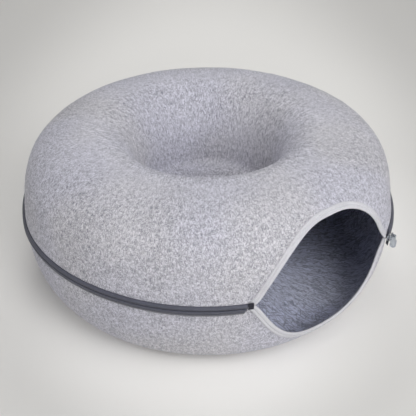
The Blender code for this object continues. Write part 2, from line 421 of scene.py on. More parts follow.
def plain_copy(piece: bpy.types.Object) -> bpy.types.Mesh:
    """The mesh of a piece with its modifiers applied."""
    bpy.context.view_layer.update()
    return bpy.data.meshes.new_from_object(piece.evaluated_get(bpy.context.evaluated_depsgraph_get()))


def grid_mesh(
    name: str,
    points: np.ndarray,
    maps: np.ndarray,
    wrap_columns: bool = False,
    wrap_rows: bool = False,
    flip: bool = False,
) -> bpy.types.Mesh:
    """A mesh of quads over columns and rows of points. Points that coincide are merged.

    Args:
        name: the mesh's name.
        points: places by column, row and axis.
        maps: cloth coordinates by column, row and axis, with one more column or row where it wraps.
        wrap_columns: joins the last column to the first.
        wrap_rows: joins the last row to the first.
        flip: turns the faces round.

    Returns:
        The smooth mesh with its cloth map.
    """
    columns, rows = points.shape[:2]
    spans = np.arange(columns - (not wrap_columns)), np.arange(rows - (not wrap_rows))
    column, row = np.meshgrid(*spans, indexing="ij")
    offsets = [(0, 0), (1, 0), (1, 1), (0, 1)]
    if flip:
        offsets.reverse()
    corners = [np.stack([column + c, row + r], axis=-1) for c, r in offsets]
    corners = np.stack(corners, axis=2).reshape(-1, 4, 2)
    faces = (corners[..., 0] % columns) * rows + corners[..., 1] % rows
    mesh = bpy.data.meshes.new(name)
    mesh.from_pydata(points.reshape(-1, 3).tolist(), [], faces.tolist())
    layer = mesh.uv_layers.new(name=CLOTH_MAP)
    layer.data.foreach_set("uv", maps[corners[..., 0], corners[..., 1]].astype(np.float32).ravel())
    with editing(mesh) as work:
        bmesh.ops.remove_doubles(work, verts=work.verts, dist=1e-6)
        for face in work.faces:
            face.smooth = True
    return mesh


def tube_of(name: str, points: np.ndarray, maps: np.ndarray, flip: bool = False) -> bpy.types.Mesh:
    """A closed mesh over columns of points that each go once round, with a flat face at each end.

    Args:
        name: the mesh's name.
        points: places by column, row and axis.
        maps: cloth coordinates, with one more row.
        flip: turns the faces round.

    Returns:
        The closed mesh.
    """
    mesh = grid_mesh(name, points, maps, wrap_rows=True, flip=flip)
    with editing(mesh) as work:
        bmesh.ops.holes_fill(work, edges=[edge for edge in work.edges if edge.is_boundary], sides=0)
        bmesh.ops.recalc_face_normals(work, faces=work.faces)
    return mesh


def strip_mesh(
    name: str, face: np.ndarray, back: np.ndarray, length: np.ndarray, width: np.ndarray, flip: bool = False
) -> bpy.types.Mesh:
    """A closed strip of cloth.

    Args:
        name: the mesh's name.
        face: places of its face by column, row and axis.
        back: places of its back.
        length: cloth coordinate of each column.
        width: cloth coordinate of each row.
        flip: turns the faces round.

    Returns:
        The strip's mesh.
    """
    points = np.concatenate([face, back[:, ::-1]], axis=1)
    round_it = np.concatenate([width, width[::-1], width[:1]])
    return tube_of(name, points, np.stack(np.meshgrid(length, round_it, indexing="ij"), axis=-1), flip)


def set_point_values(mesh: bpy.types.Mesh, name: str, values: np.ndarray) -> None:
    """Stores one number, or one vector, for each vertex.

    Args:
        mesh: the mesh.
        name: the attribute's name.
        values: what is stored, one a row.
    """
    kind, key = ("FLOAT", "value") if values.ndim == 1 else ("FLOAT_VECTOR", "vector")
    mesh.attributes.new(name, kind, "POINT").data.foreach_set(key, values.astype(np.float32).ravel())


def vertex_places(mesh: bpy.types.Mesh) -> np.ndarray:
    """The places of a mesh's vertices, one a row."""
    places = np.zeros(len(mesh.vertices) * 3, np.float32)
    mesh.vertices.foreach_get("co", places)
    return places.reshape(-1, 3).astype(float)


def wire_mesh(name: str, path: np.ndarray, radii: np.ndarray, sides: int) -> bpy.types.Mesh:
    """A closed round wire along a path of few points.

    Args:
        name: the mesh's name.
        path: points down its middle.
        radii: its radius at each point.
        sides: how many sides its section has.

    Returns:
        The wire's mesh.
    """
    along = unit(np.gradient(path, axis=0))
    helper = (0.0, 1.0, 0.0) if abs(along[:, 1]).max() < 0.9 else (1.0, 0.0, 0.0)
    first = unit(np.cross(along, helper))
    second = np.cross(along, first)
    angles = np.arange(sides)[None, :, None] / sides * FULL_TURN
    ring = first[:, None] * np.cos(angles) + second[:, None] * np.sin(angles)
    return tube_of(name, path[:, None] + ring * radii[:, None, None], np.zeros((len(path), sides + 1, 2)))


def joined_mesh(name: str, meshes: list[bpy.types.Mesh]) -> bpy.types.Mesh:
    """Several meshes as one.

    Args:
        name: the new mesh's name.
        meshes: what it holds; they are removed.

    Returns:
        The joined mesh.
    """
    joined = bpy.data.meshes.new(name)
    with editing(joined) as work:
        for mesh in meshes:
            work.from_mesh(mesh)
            bpy.data.meshes.remove(mesh)
    return joined


# ---------------------------------------------------------------------------------------------------------
# Node trees
# ---------------------------------------------------------------------------------------------------------


class Graph:
    """Adds nodes to one tree and links them."""

    given: bpy.types.NodeOutputs | None = None
    result: bpy.types.NodeInputs | None = None

    def __init__(self, tree: bpy.types.NodeTree) -> None:
        """Keeps the tree that nodes go into."""
        self.tree = tree

    @classmethod
    def group_of(cls, name: str, kind: str, inputs: dict, outputs: dict) -> "Graph":
        """Starts a node group, with the sockets of its inputs in given and of its outputs in result.

        Args:
            name: the group's name.
            kind: Shader or Geometry.
            inputs: a default number for each named input, or its kind.
            outputs: kind of each named output.

        Returns:
            The graph.
        """
        tree = bpy.data.node_groups.new(name, f"{kind}NodeTree")
        for label, default in inputs.items():
            word = default if isinstance(default, str) else type(default).__name__.capitalize()
            socket = tree.interface.new_socket(name=label, in_out="INPUT", socket_type=f"NodeSocket{word}")
            if not isinstance(default, str):
                socket.default_value = default
        for label, word in outputs.items():
            tree.interface.new_socket(name=label, in_out="OUTPUT", socket_type=f"NodeSocket{word}")
        graph = cls(tree)
        graph.given = graph.node("NodeGroupInput").outputs
        graph.result = graph.node("NodeGroupOutput").inputs
        return graph

    def fill(self, sockets: bpy.types.NodeInputs, values: dict) -> bpy.types.NodeTree:
        """Gives inputs what they hold.

        Args:
            sockets: a node's inputs.
            values: a value or an output for each of them, by name or number.

        Returns:
            The tree.
        """
        for key, value in values.items():
            if isinstance(value, bpy.types.NodeSocket):
                self.tree.links.new(value, sockets[key])
            else:
                sockets[key].default_value = value
        return self.tree

    def node(self, kind: str, inputs: dict | None = None, **settings: object) -> bpy.types.Node:
        """Adds a node.

        Args:
            kind: the node's type.
            inputs: a value or an output for each input, by name or number.
            **settings: the node's own properties.

        Returns:
            The node.
        """
        made = self.tree.nodes.new(kind)
        for name, value in settings.items():
            setattr(made, name, value)
        self.fill(made.inputs, inputs or {})
        return made

    def math(self, operation: str, *values: Value) -> bpy.types.NodeSocket:
        """The result of a sum on one to three values."""
        return self.node("ShaderNodeMath", dict(enumerate(values)), operation=operation).outputs[0]

    def vector_math(self, operation: str, *values: Value) -> bpy.types.NodeSocket:
        """The result of a vector sum on one to three vectors."""
        return self.node("ShaderNodeVectorMath", dict(enumerate(values)), operation=operation).outputs[0]

    def length(self, vector: Value) -> bpy.types.NodeSocket:
        """The length of a vector."""
        return self.node("ShaderNodeVectorMath", {0: vector}, operation="LENGTH").outputs["Value"]

    def weighted(self, *parts: tuple[float, Value]) -> bpy.types.NodeSocket:
        """The sum of values, each with its weight before it."""
        total = 0.0
        for weight, value in parts:
            total = self.math("MULTIPLY_ADD", value, weight, total)
        return total

    def xyz(self, **parts: Value) -> bpy.types.NodeSocket:
        """A vector from its X, Y and Z, each 0 unless given."""
        return self.node("ShaderNodeCombineXYZ", parts).outputs[0]

    def remap(
        self, value: Value, low: float, high: float, new_low: float = 0.0, new_high: float = 1.0
    ) -> bpy.types.NodeSocket:
        """Brings a value from one range smoothly into another.

        Args:
            value: what is brought over.
            low: start of its range.
            high: end of its range.
            new_low: start of the new range.
            new_high: end of the new range.

        Returns:
            The new value.
        """
        inputs = {"Value": value, "From Min": low, "From Max": high, "To Min": new_low, "To Max": new_high}
        return self.node("ShaderNodeMapRange", inputs, interpolation_type="SMOOTHSTEP").outputs["Result"]

    def noise(
        self, vector: Value, scale: Value, detail: float, dimensions: str = "3D"
    ) -> bpy.types.NodeSocket:
        """Smooth random values from 0 to 1.

        Args:
            vector: where it is read.
            scale: bumps per metre.
            detail: how many finer layers it has.
            dimensions: "2D" or "3D".

        Returns:
            The values.
        """
        inputs = {"Vector": vector, "Scale": scale, "Detail": detail}
        return self.node("ShaderNodeTexNoise", inputs, noise_dimensions=dimensions).outputs["Fac"]

    def mix_colour(
        self, share: Value, first: Value, second: Value, blend: str = "MIX"
    ) -> bpy.types.NodeSocket:
        """A colour between two.

        Args:
            share: 0 for the first and 1 for the second.
            first: a colour or an output.
            second: a colour or an output.
            blend: how the second goes over the first.

        Returns:
            The mixed colour.
        """
        inputs = {
            key: (*value, 1.0) if isinstance(value, tuple) else value
            for key, value in ((0, share), (6, first), (7, second))
        }
        return self.node("ShaderNodeMix", inputs, data_type="RGBA", blend_type=blend).outputs[2]

    def bump(self, height: Value, distance: float, strength: float) -> bpy.types.NodeSocket:
        """Normals for a height, which counts for this distance and with this strength."""
        inputs = {"Height": height, "Distance": distance, "Strength": strength}
        return self.node("ShaderNodeBump", inputs).outputs[0]

    def group(self, tree: bpy.types.NodeTree, **inputs: Value) -> bpy.types.NodeOutputs:
        """The outputs of a node group that is placed with these inputs."""
        return self.node("ShaderNodeGroup", inputs, node_tree=tree).outputs

    def cloth(self) -> bpy.types.NodeSocket:
        """The cloth's own map."""
        return self.node("ShaderNodeUVMap", uv_map=CLOTH_MAP).outputs[0]

    def named(self, name: str, kind: str) -> bpy.types.NodeSocket:
        """A stored value of the geometry, of a kind such as FLOAT."""
        values = self.node("GeometryNodeInputNamedAttribute", {"Name": name}, data_type=kind)
        return values.outputs["Attribute"]

    def random(self, low: float, high: float, seed: Value) -> bpy.types.NodeSocket:
        """A random number for each point."""
        inputs = {2: low, 3: high, "Seed": seed}
        return self.node("FunctionNodeRandomValue", inputs, data_type="FLOAT").outputs[1]

    def finished_copies(self, points: Value, shape: Value, rotation: Value, turn: Value, size: Value) -> dict:
        """Copies of a shape as one plain mesh in the finish that the tree is given.

        Args:
            points: where they go.
            shape: what is copied.
            rotation: the direction of each point.
            turn: how far each copy is turned round its own upright.
            size: the scale of each copy.

        Returns:
            What the tree gives.
        """
        yaw = self.node("FunctionNodeEulerToRotation", {0: self.xyz(Z=turn)}).outputs[0]
        turns = {0: rotation, 1: yaw}
        turned = self.node("FunctionNodeRotateRotation", turns, rotation_space="LOCAL").outputs[0]
        inputs = {"Points": points, "Instance": shape, "Rotation": turned, "Scale": size}
        copies = self.node("GeometryNodeInstanceOnPoints", inputs).outputs[0]
        real = self.node("GeometryNodeRealizeInstances", {0: copies}).outputs[0]
        finished = self.node("GeometryNodeSetMaterial", {"Geometry": real, "Material": self.given["Finish"]})
        return {"Geometry": finished.outputs[0]}


class ShaderEffects:
    """Effects that more than one finish uses, each a node group that is built once."""

    STRAND_TURNS = (14.0, 55.0, 77.0, 97.0, 118.0, 155.0)  # degrees
    FLECK_LIMITS = (0.70, 0.76)

    def __init__(self) -> None:
        """Builds the groups."""
        self.strands = self._strands()
        self.patches = self._patches()
        self.weave = self._weave()
        self.scratches = self._scratches()

    def _strands(self) -> bpy.types.NodeTree:
        """Short fibres that lie in all directions, but more of them across the cloth than along it.

        Returns:
            A group that gives the fibres' tone and height, and a mask of sparse dark flecks.
        """
        inputs = {"Vector": "Vector", "Length": 0.006, "Width": 0.0012, "Curl": 0.002}
        graph = Graph.group_of("Felted strands", "Shader", inputs, {"Tone": "Float", "Flecks": "Float"})
        given = graph.given
        bend = graph.node("ShaderNodeTexNoise", {"Vector": given["Vector"], "Scale": 90.0, "Detail": 1.0})
        centred = graph.vector_math("SUBTRACT", bend.outputs["Color"], (0.5, 0.5, 0.5))
        curl = graph.xyz(X=given["Curl"], Y=given["Curl"], Z=given["Curl"])
        bent = graph.vector_math("MULTIPLY_ADD", centred, curl, given["Vector"])
        across, along = (graph.math("DIVIDE", 1.0, given[label]) for label in ("Length", "Width"))
        rate = graph.xyz(X=across, Y=along, Z=1.0)
        strands, flecks = [], []
        for index, degrees in enumerate(self.STRAND_TURNS):
            turn = {"Vector": bent, "Angle": math.radians(degrees)}
            turned = graph.node("ShaderNodeVectorRotate", turn, rotation_type="Z_AXIS").outputs[0]
            placed = graph.vector_math("MULTIPLY_ADD", turned, rate, (13.7 * index, 7.9 * index, 0.0))
            strands.append(graph.noise(placed, 1.0, detail=1.0, dimensions="2D"))
            mark = graph.vector_math("MULTIPLY", placed, (1.15, 1.9, 1.0))
            spots = graph.noise(mark, 1.0, detail=0.0, dimensions="2D")
            flecks.append(graph.remap(spots, *self.FLECK_LIMITS))
        brightest, darkest, marked = (
            reduce(partial(graph.math, choice), layers)
            for choice, layers in (("MAXIMUM", strands), ("MINIMUM", strands), ("MAXIMUM", flecks))
        )
        tone = graph.remap(graph.math("ADD", brightest, darkest), 0.74, 1.26)
        return graph.fill(graph.result, {"Tone": tone, "Flecks": marked})

    def _patches(self) -> bpy.types.NodeTree:
        """Soft patches of lighter and darker cloth.

        Returns:
            A group that gives a value and a second one for the tint.
        """
        inputs = {"Vector": "Vector", "Scale": 20.0}
        graph = Graph.group_of("Soft patches", "Shader", inputs, {"Value": "Float", "Tint": "Float"})
        value = graph.noise(graph.given["Vector"], graph.given["Scale"], detail=3.0)
        moved = graph.vector_math("ADD", graph.given["Vector"], (3.1, 1.7, 0.4))
        tint = graph.noise(moved, graph.math("MULTIPLY", graph.given["Scale"], 0.6), detail=1.0)
        outputs = {"Value": graph.remap(value, 0.3, 0.7), "Tint": graph.remap(tint, 0.35, 0.65)}
        return graph.fill(graph.result, outputs)

    def _weave(self) -> bpy.types.NodeTree:
        """Threads that cross over and under.

        Returns:
            A group that gives the height of the threads and a mask of the gaps between them.
        """
        inputs = {"Vector": "Vector", "Warp": 0.0006, "Weft": 0.0005}
        graph = Graph.group_of("Plain weave", "Shader", inputs, {"Height": "Float", "Gaps": "Float"})
        split = graph.node("ShaderNodeSeparateXYZ", {0: graph.given["Vector"]}).outputs
        waves = []
        for axis, pitch in (("X", "Weft"), ("Y", "Warp")):
            turns = graph.math("DIVIDE", split[axis], graph.given[pitch])
            waves.append(graph.math("SINE", graph.math("MULTIPLY", turns, math.pi)))
        height = graph.math("ABSOLUTE", graph.math("MULTIPLY", *waves))
        return graph.fill(graph.result, {"Height": height, "Gaps": graph.remap(height, 0.25, 0.0)})

    def _scratches(self) -> bpy.types.NodeTree:
        """Fine scratches and handling marks.

        Returns:
            A group that gives their mask.
        """
        inputs = {"Vector": "Vector", "Scale": 900.0}
        graph = Graph.group_of("Handling marks", "Shader", inputs, {"Mask": "Float"})
        stretched = graph.vector_math("MULTIPLY", graph.given["Vector"], (1.0, 0.15, 0.4))
        lines = graph.noise(stretched, graph.given["Scale"], detail=4.0)
        return graph.fill(graph.result, {"Mask": graph.remap(lines, 0.45, 0.75)})


# ---------------------------------------------------------------------------------------------------------
# Finishes
# ---------------------------------------------------------------------------------------------------------


@dataclass(frozen=True)
class Finish:
    """A finish that becomes a material with one Principled shader."""

    effects: ShaderEffects

    def material(self, name: str) -> bpy.types.Material:
        """Builds the material.

        Args:
            name: the material's name.

        Returns:
            The material.
        """
        material = bpy.data.materials.new(name)
        material.use_nodes = True
        graph = Graph(material.node_tree)
        place = graph.node("ShaderNodeTexCoord").outputs["Object"]
        graph.fill(material.node_tree.nodes["Principled BSDF"].inputs, self.shading(graph, place))
        return material

    def shading(self, graph: Graph, place: bpy.types.NodeSocket) -> dict:
        """Builds the nodes before the shader.

        Args:
            graph: the material's tree.
            place: the place on the object.

        Returns:
            What each of the shader's inputs holds.
        """
        raise NotImplementedError


@dataclass(frozen=True)
class HeatherFelt(Finish):
    """Needled felt of light, grey and dark fibres."""

    light: Colour = (0.742, 0.735, 0.826)
    middle: Colour = (0.660, 0.655, 0.737)
    dark: Colour = (0.235, 0.237, 0.285)
    neutral: Colour = (1.02, 1.01, 0.95)
    # Painted shade for the tunnel's lining: a bluish tint for its floor and a darker grey for its roof.
    tunnel_floor: Colour = (0.94, 0.99, 1.11)
    tunnel_roof: Colour = (0.66, 0.675, 0.68)
    fibre: tuple[float, float] = (0.0078, 0.0013)  # length, width
    well_fibre: tuple[float, float] = (0.0120, 0.0023)
    streak: tuple[float, float] = (0.018, 0.0036)
    curl: float = 1.4
    well_edge: tuple[float, float] = (0.125, 0.185)
    clump_size: float = 0.0030
    contrast: float = 1.25
    lift: float = 0.06
    fleck_strength: float = 0.72
    patch_scale: float = 13.0
    relief: float = 0.0005

    def strands(self, graph: Graph, size: tuple[float, float]) -> bpy.types.NodeOutputs:
        """Fibres of one length and width on the cloth's own map."""
        length, width = size
        inputs = {"Vector": graph.cloth(), "Length": length, "Width": width, "Curl": width * self.curl}
        return graph.group(self.effects.strands, **inputs)

    def shading(self, graph: Graph, place: bpy.types.NodeSocket) -> dict:
        """Mixes the fibres' tones into a colour, with painted shade inside the tunnel: a darker roof and a
        bluer floor.
        """
        sizes = (self.fibre, self.well_fibre, self.streak)
        outer, well, broad = (self.strands(graph, size) for size in sizes)
        patches = graph.group(self.effects.patches, Vector=place, Scale=self.patch_scale)
        radius = graph.length(graph.vector_math("MULTIPLY", place, (1.0, 1.0, 0.0)))
        # The tunnel lining, 0.5 on its roof and 1 on its floor, gets the well's fibres and painted shade.
        tunnel = graph.node("ShaderNodeAttribute", attribute_name=INSIDE).outputs["Fac"]
        lining = graph.remap(tunnel, 0.0, 0.5)
        outside_well = graph.math("SUBTRACT", graph.remap(radius, *self.well_edge), lining)
        fine, flecks = (
            graph.node("ShaderNodeMix", {0: outside_well, 2: well[label], 3: outer[label]}).outputs[0]
            for label in ("Tone", "Flecks")
        )
        clumps = graph.remap(graph.noise(place, 1 / self.clump_size, detail=2.0), 0.32, 0.68)
        tone = graph.weighted((0.54, fine), (0.16, clumps), (0.16, broad["Tone"]), (0.14, patches["Value"]))
        tone = graph.math("MULTIPLY_ADD", tone, self.contrast, 0.5 - 0.5 * self.contrast + self.lift)
        ramp = graph.node("ShaderNodeValToRGB", {"Fac": tone})
        stops = ramp.color_ramp.elements
        stops.new(0.48)
        for stop, colour in zip(stops, (self.dark, self.middle, self.light)):
            stop.color = (*colour, 1.0)
        tinted = graph.mix_colour(patches["Tint"], ramp.outputs["Color"], self.neutral, blend="MULTIPLY")
        flecked = graph.mix_colour(graph.math("MULTIPLY", flecks, self.fleck_strength), tinted, self.dark)
        # Painted shade: the lining's roof is darkened and its floor tinted bluer, where the tunnel lies in
        # shade.
        painted_tunnel_shade = graph.mix_colour(graph.remap(tunnel, 0.5, 1.0), self.tunnel_roof, self.tunnel_floor)
        height = graph.math("MULTIPLY_ADD", clumps, 0.7, fine)
        return {
            "Base Color": graph.mix_colour(lining, flecked, painted_tunnel_shade, blend="MULTIPLY"),
            "Normal": graph.bump(height, self.relief, 0.8),
            "Roughness": graph.remap(fine, 0.0, 1.0, 1.0, 0.86),
            "Specular IOR Level": 0.18,
            "Sheen Weight": 0.12,
            "Sheen Roughness": 0.5,
        }


@dataclass(frozen=True)
class WovenTape(Finish):
    """Narrow woven tape, as binding or as zip tape."""

    colour: Colour
    shade: Colour
    warp: float = 0.0008
    weft: float = 0.0006
    relief: float = 0.00012
    sheen: float = 0.1
    gloss: float = 0.2
    rough: tuple[float, float] = (0.95, 0.80)

    def shading(self, graph: Graph, place: bpy.types.NodeSocket) -> dict:
        """Shades the gaps of the weave and gives it relief."""
        cloth = graph.cloth()
        weave = graph.group(self.effects.weave, Vector=cloth, Warp=self.warp, Weft=self.weft)
        strands = graph.group(self.effects.strands, Vector=cloth, Length=0.004, Width=0.0007, Curl=0.001)
        patches = graph.group(self.effects.patches, Vector=place, Scale=60.0)
        share = graph.weighted((0.5, weave["Gaps"]), (0.22, strands["Tone"]), (0.22, patches["Value"]))
        height = graph.math("MULTIPLY_ADD", strands["Tone"], 0.4, weave["Height"])
        return {
            "Base Color": graph.mix_colour(share, self.colour, self.shade),
            "Normal": graph.bump(height, self.relief, 0.7),
            "Roughness": graph.remap(weave["Height"], 0.0, 1.0, *self.rough),
            "Specular IOR Level": self.gloss,
            "Sheen Weight": self.sheen,
        }


@dataclass(frozen=True)
class SpunThread(Finish):
    """Sewing thread or loose fibre."""

    colour: Colour
    shade: Colour

    def shading(self, graph: Graph, place: bpy.types.NodeSocket) -> dict:
        """Varies the thread's colour from place to place."""
        patches = graph.group(self.effects.patches, Vector=place, Scale=400.0)
        return {
            "Base Color": graph.mix_colour(patches["Value"], self.colour, self.shade),
            "Roughness": graph.remap(patches["Tint"], 0.0, 1.0, 0.7, 0.9),
            "Specular IOR Level": 0.25,
        }


@dataclass(frozen=True)
class Nylon(Finish):
    """Dark nylon of the zip's coil."""

    colour: Colour = (0.012, 0.013, 0.020)
    paler: Colour = (0.0264, 0.0286, 0.044)

    def shading(self, graph: Graph, place: bpy.types.NodeSocket) -> dict:
        """Rubs the nylon paler along fine marks."""
        marks = graph.group(self.effects.scratches, Vector=place, Scale=1500.0)["Mask"]
        return {
            "Base Color": graph.mix_colour(marks, self.colour, self.paler),
            "Roughness": graph.remap(marks, 0.0, 1.0, 0.35, 0.55),
        }


@dataclass(frozen=True)
class BrightPlating(Finish):
    """Polished silver plating with fine handling marks."""

    colour: Colour = (0.58, 0.62, 0.68)
    worn: Colour = (0.22, 0.25, 0.30)

    def shading(self, graph: Graph, place: bpy.types.NodeSocket) -> dict:
        """Dulls the plating along the marks."""
        marks = graph.group(self.effects.scratches, Vector=place, Scale=700.0)["Mask"]
        patches = graph.group(self.effects.patches, Vector=place, Scale=260.0)
        rough = graph.math("MULTIPLY_ADD", marks, 0.16, 0.12)
        return {
            "Base Color": graph.mix_colour(graph.math("MULTIPLY", marks, 0.5), self.colour, self.worn),
            "Normal": graph.bump(marks, 0.00003, 0.4),
            "Roughness": graph.math("MULTIPLY_ADD", patches["Value"], 0.08, rough),
            "Metallic": 1.0,
        }


@dataclass(frozen=True)
class StudioPaint(Finish):
    """Plain pale floor with a pool of light on it that is short in front of the cave and long behind it."""

    colour: Colour = (0.921, 0.910, 0.886)
    far_share: float = 0.77
    pool_reach: float = 1.206
    pool_shape: tuple[float, float] = (0.570, -0.058)
    near: float = 0.200
    far: float = 0.323

    def shading(self, graph: Graph, place: bpy.types.NodeSocket) -> dict:
        """Darkens the paint away from the pool."""
        split = graph.node("ShaderNodeSeparateXYZ", {0: place}).outputs
        along = graph.math("MULTIPLY_ADD", split["Y"], *self.pool_shape)
        reach = graph.math("MAXIMUM", graph.math("ADD", split["Y"], self.pool_reach), 0.05)
        radius = graph.math("DIVIDE", graph.length(graph.xyz(X=split["X"], Y=along)), reach)
        far = tuple(part * self.far_share for part in self.colour)
        marks = graph.group(self.effects.patches, Vector=place, Scale=3.0)
        return {
            "Base Color": graph.mix_colour(graph.remap(radius, self.near, self.far), self.colour, far),
            "Roughness": graph.remap(marks["Value"], 0.0, 1.0, 0.88, 0.94),
            "Specular IOR Level": 0.1,
        }


# ---------------------------------------------------------------------------------------------------------
# What repeats
# ---------------------------------------------------------------------------------------------------------


class Repeats:
    """Geometry node trees for what repeats along a path or over a surface."""

    def __init__(self) -> None:
        """Builds the trees."""
        self.along_path = self._along_path()
        self.over_surface = self._over_surface()

    def _along_path(self) -> bpy.types.NodeTree:
        """Copies of a shape along a path, upright on the path's outward direction.

        Returns:
            The tree.
        """
        inputs = {"Geometry": "Geometry", "Shape": "Object", "Pitch": 0.003, "Turn": 0.0, "Turn Spread": 0.0}
        inputs |= {"Size Spread": 0.0, "Seed": 1, "Finish": "Material"}
        graph = Graph.group_of("Along a path", "Geometry", inputs, {"Geometry": "Geometry"})
        given = graph.given
        curve = graph.node("GeometryNodeMeshToCurve", {"Mesh": given["Geometry"]}).outputs[0]
        spacing = {"Curve": curve, "Length": given["Pitch"]}
        spaced = graph.node("GeometryNodeResampleCurve", spacing, mode="LENGTH").outputs[0]
        tangent = graph.node("GeometryNodeInputTangent").outputs[0]
        axes = {"Primary Axis": graph.named(OUTWARD, "FLOAT_VECTOR"), "Secondary Axis": tangent}
        choices = {"primary_axis": "Z", "secondary_axis": "X"}
        upright = graph.node("FunctionNodeAxesToRotation", axes, **choices).outputs[0]
        spread = graph.random(-1.0, 1.0, given["Seed"])
        turn = graph.math("MULTIPLY_ADD", spread, given["Turn Spread"], given["Turn"])
        other = graph.random(-1.0, 1.0, graph.math("ADD", given["Seed"], 1.0))
        size = graph.math("MULTIPLY_ADD", other, given["Size Spread"], 1.0)
        shape = graph.node("GeometryNodeObjectInfo", {"Object": given["Shape"]}).outputs["Geometry"]
        return graph.fill(graph.result, graph.finished_copies(spaced, shape, upright, turn, size))

    def _over_surface(self) -> bpy.types.NodeTree:
        """Loose curved fibres over a surface, lying nearly flat on it in all directions.

        Returns:
            The tree.
        """
        inputs = {"Geometry": "Geometry", "Density": 10000.0, "Length": 0.006, "Lift": 0.0008}
        inputs |= {"Radius": 0.00005, "Seed": 1, "Finish": "Material"}
        graph = Graph.group_of("Loose fibres", "Geometry", inputs, {"Geometry": "Geometry"})
        given = graph.given
        length, lift, seed = (given[label] for label in ("Length", "Lift", "Seed"))
        density = graph.math("MULTIPLY", graph.named(BARE, "FLOAT"), given["Density"])
        surface = {"Mesh": given["Geometry"], "Density": density, "Seed": seed}
        strewn = graph.node("GeometryNodeDistributePointsOnFaces", surface).outputs
        half = graph.math("MULTIPLY", length, 0.5)
        bow = {
            "Resolution": 3,
            "Start": graph.xyz(Z=-0.0003),
            "Middle": graph.xyz(X=half, Y=graph.math("MULTIPLY", half, 0.7), Z=lift),
            "End": graph.xyz(X=length, Z=graph.math("MULTIPLY", lift, 1.2)),
        }
        fibre = graph.node("GeometryNodeCurveQuadraticBezier", bow).outputs[0]
        factor = graph.node("GeometryNodeSplineParameter").outputs["Factor"]
        taper = graph.math("SUBTRACT", 1.15, factor)
        tapered = graph.node("GeometryNodeSetCurveRadius", {"Curve": fibre, "Radius": taper}).outputs[0]
        section = graph.node(
            "GeometryNodeCurvePrimitiveCircle", {"Resolution": 3, "Radius": given["Radius"]}
        ).outputs[0]
        solid = {"Curve": tapered, "Profile Curve": section, "Scale": taper, "Fill Caps": True}
        hair = graph.node("GeometryNodeCurveToMesh", solid).outputs[0]
        yaw = graph.random(0.0, FULL_TURN, seed)
        size = graph.random(0.45, 1.5, graph.math("ADD", seed, 1.0))
        copies = graph.finished_copies(strewn["Points"], hair, strewn["Rotation"], yaw, size)
        return graph.fill(graph.result, copies)

    def grow(
        self, name: str, base: bpy.types.Mesh, tree: bpy.types.NodeTree, **values: object
    ) -> bpy.types.Object:
        """Runs a tree on a mesh and keeps the result as a plain mesh.

        Args:
            name: the new piece's name.
            base: the path or surface; it isn't changed.
            tree: which tree to run.
            **values: the tree's inputs, with underscores for spaces.

        Returns:
            The new piece.
        """
        carrier = link_piece(f"{name}_carrier", base.copy())
        modifier = carrier.modifiers.new("Repeats", "NODES")
        modifier.node_group = tree
        sockets = {item.name: item.identifier for item in tree.interface.items_tree if item.in_out == "INPUT"}
        for label, value in values.items():
            modifier[sockets[label.replace("_", " ")]] = value
        carrier.update_tag()
        grown = plain_copy(carrier)
        grown.name = name
        carrier.modifiers.remove(modifier)
        bpy.data.objects.remove(carrier)
        grown.shade_smooth()
        return link_piece(name, grown)

    def sew(
        self, name: str, path: np.ndarray, outward: np.ndarray, shape: bpy.types.Mesh, **values: object
    ) -> bpy.types.Object:
        """Puts copies of a shape along a path.

        Args:
            name: the new piece's name.
            path: points of the path.
            outward: the direction away from the cloth at each point.
            shape: the repeated shape, X along the path and Z outwards.
            **values: the tree's other inputs.

        Returns:
            The new piece.
        """
        line = bpy.data.meshes.new(f"{name}_path")
        line.from_pydata(path.tolist(), [(index, index + 1) for index in range(len(path) - 1)], [])
        set_point_values(line, OUTWARD, outward)
        model = link_piece(f"{name}_shape", shape)
        piece = self.grow(name, line, self.along_path, Shape=model, **values)
        bpy.data.objects.remove(model)
        return piece


def stitch_mesh(length: float, radius: float, crown: float) -> bpy.types.Mesh:
    """One stitch: a short length of thread whose ends dive into the cloth.

    Args:
        length: from hole to hole.
        radius: of the thread.
        crown: how high the thread's middle stands.

    Returns:
        The stitch's mesh, X along it and Z outwards.
    """
    share = np.linspace(-1.0, 1.0, 6)
    path = np.stack([share * length / 2, np.zeros(6), crown * (1 - 2.2 * share**4)], axis=1)
    return wire_mesh("stitch", path, radius * (1 - 0.25 * share**2), 6)


# ---------------------------------------------------------------------------------------------------------
# Sub-assemblies
# ---------------------------------------------------------------------------------------------------------


@dataclass
class Workshop:
    """What every sub-assembly shares: the form, the finishes and the trees."""

    form: CaveForm
    repeats: Repeats
    felt: bpy.types.Material
    loose_fibre: bpy.types.Material
    binding: bpy.types.Material
    tape: bpy.types.Material
    tab: bpy.types.Material
    nylon: bpy.types.Material
    plating: bpy.types.Material
    pale_thread: bpy.types.Material
    dark_thread: bpy.types.Material

    def hand_over(self, piece: bpy.types.Object, slot: str, *nodes: str) -> bpy.types.Object:
        """Makes a finished piece ride on the frame.

        Args:
            piece: the piece.
            slot: the material slot, which is only logged.
            *nodes: the frame's nodes that it stands for.

        Returns:
            The piece.
        """
        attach(piece, BODY)
        if nodes:
            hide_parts(*nodes)
        count = len(piece.data.vertices)
        LOG.info("%s: %d vertices, slot %s, for %s", piece.name, count, slot, nodes or "no node")
        return piece

    def hand_over_seams(
        self, name: str, seams: list[bpy.types.Object], thread: bpy.types.Material, slot: str
    ) -> bpy.types.Object:
        """Joins rows of stitches into one finished piece.

        Args:
            name: the piece's name.
            seams: the rows; they are removed.
            thread: their finish.
            slot: the material slot, which is only logged.

        Returns:
            The piece.
        """
        both = joined_mesh(name, [seam.data.copy() for seam in seams])
        both.materials.append(thread)
        for seam in seams:
            bpy.data.objects.remove(seam)
        return self.hand_over(link_piece(name, both), slot)


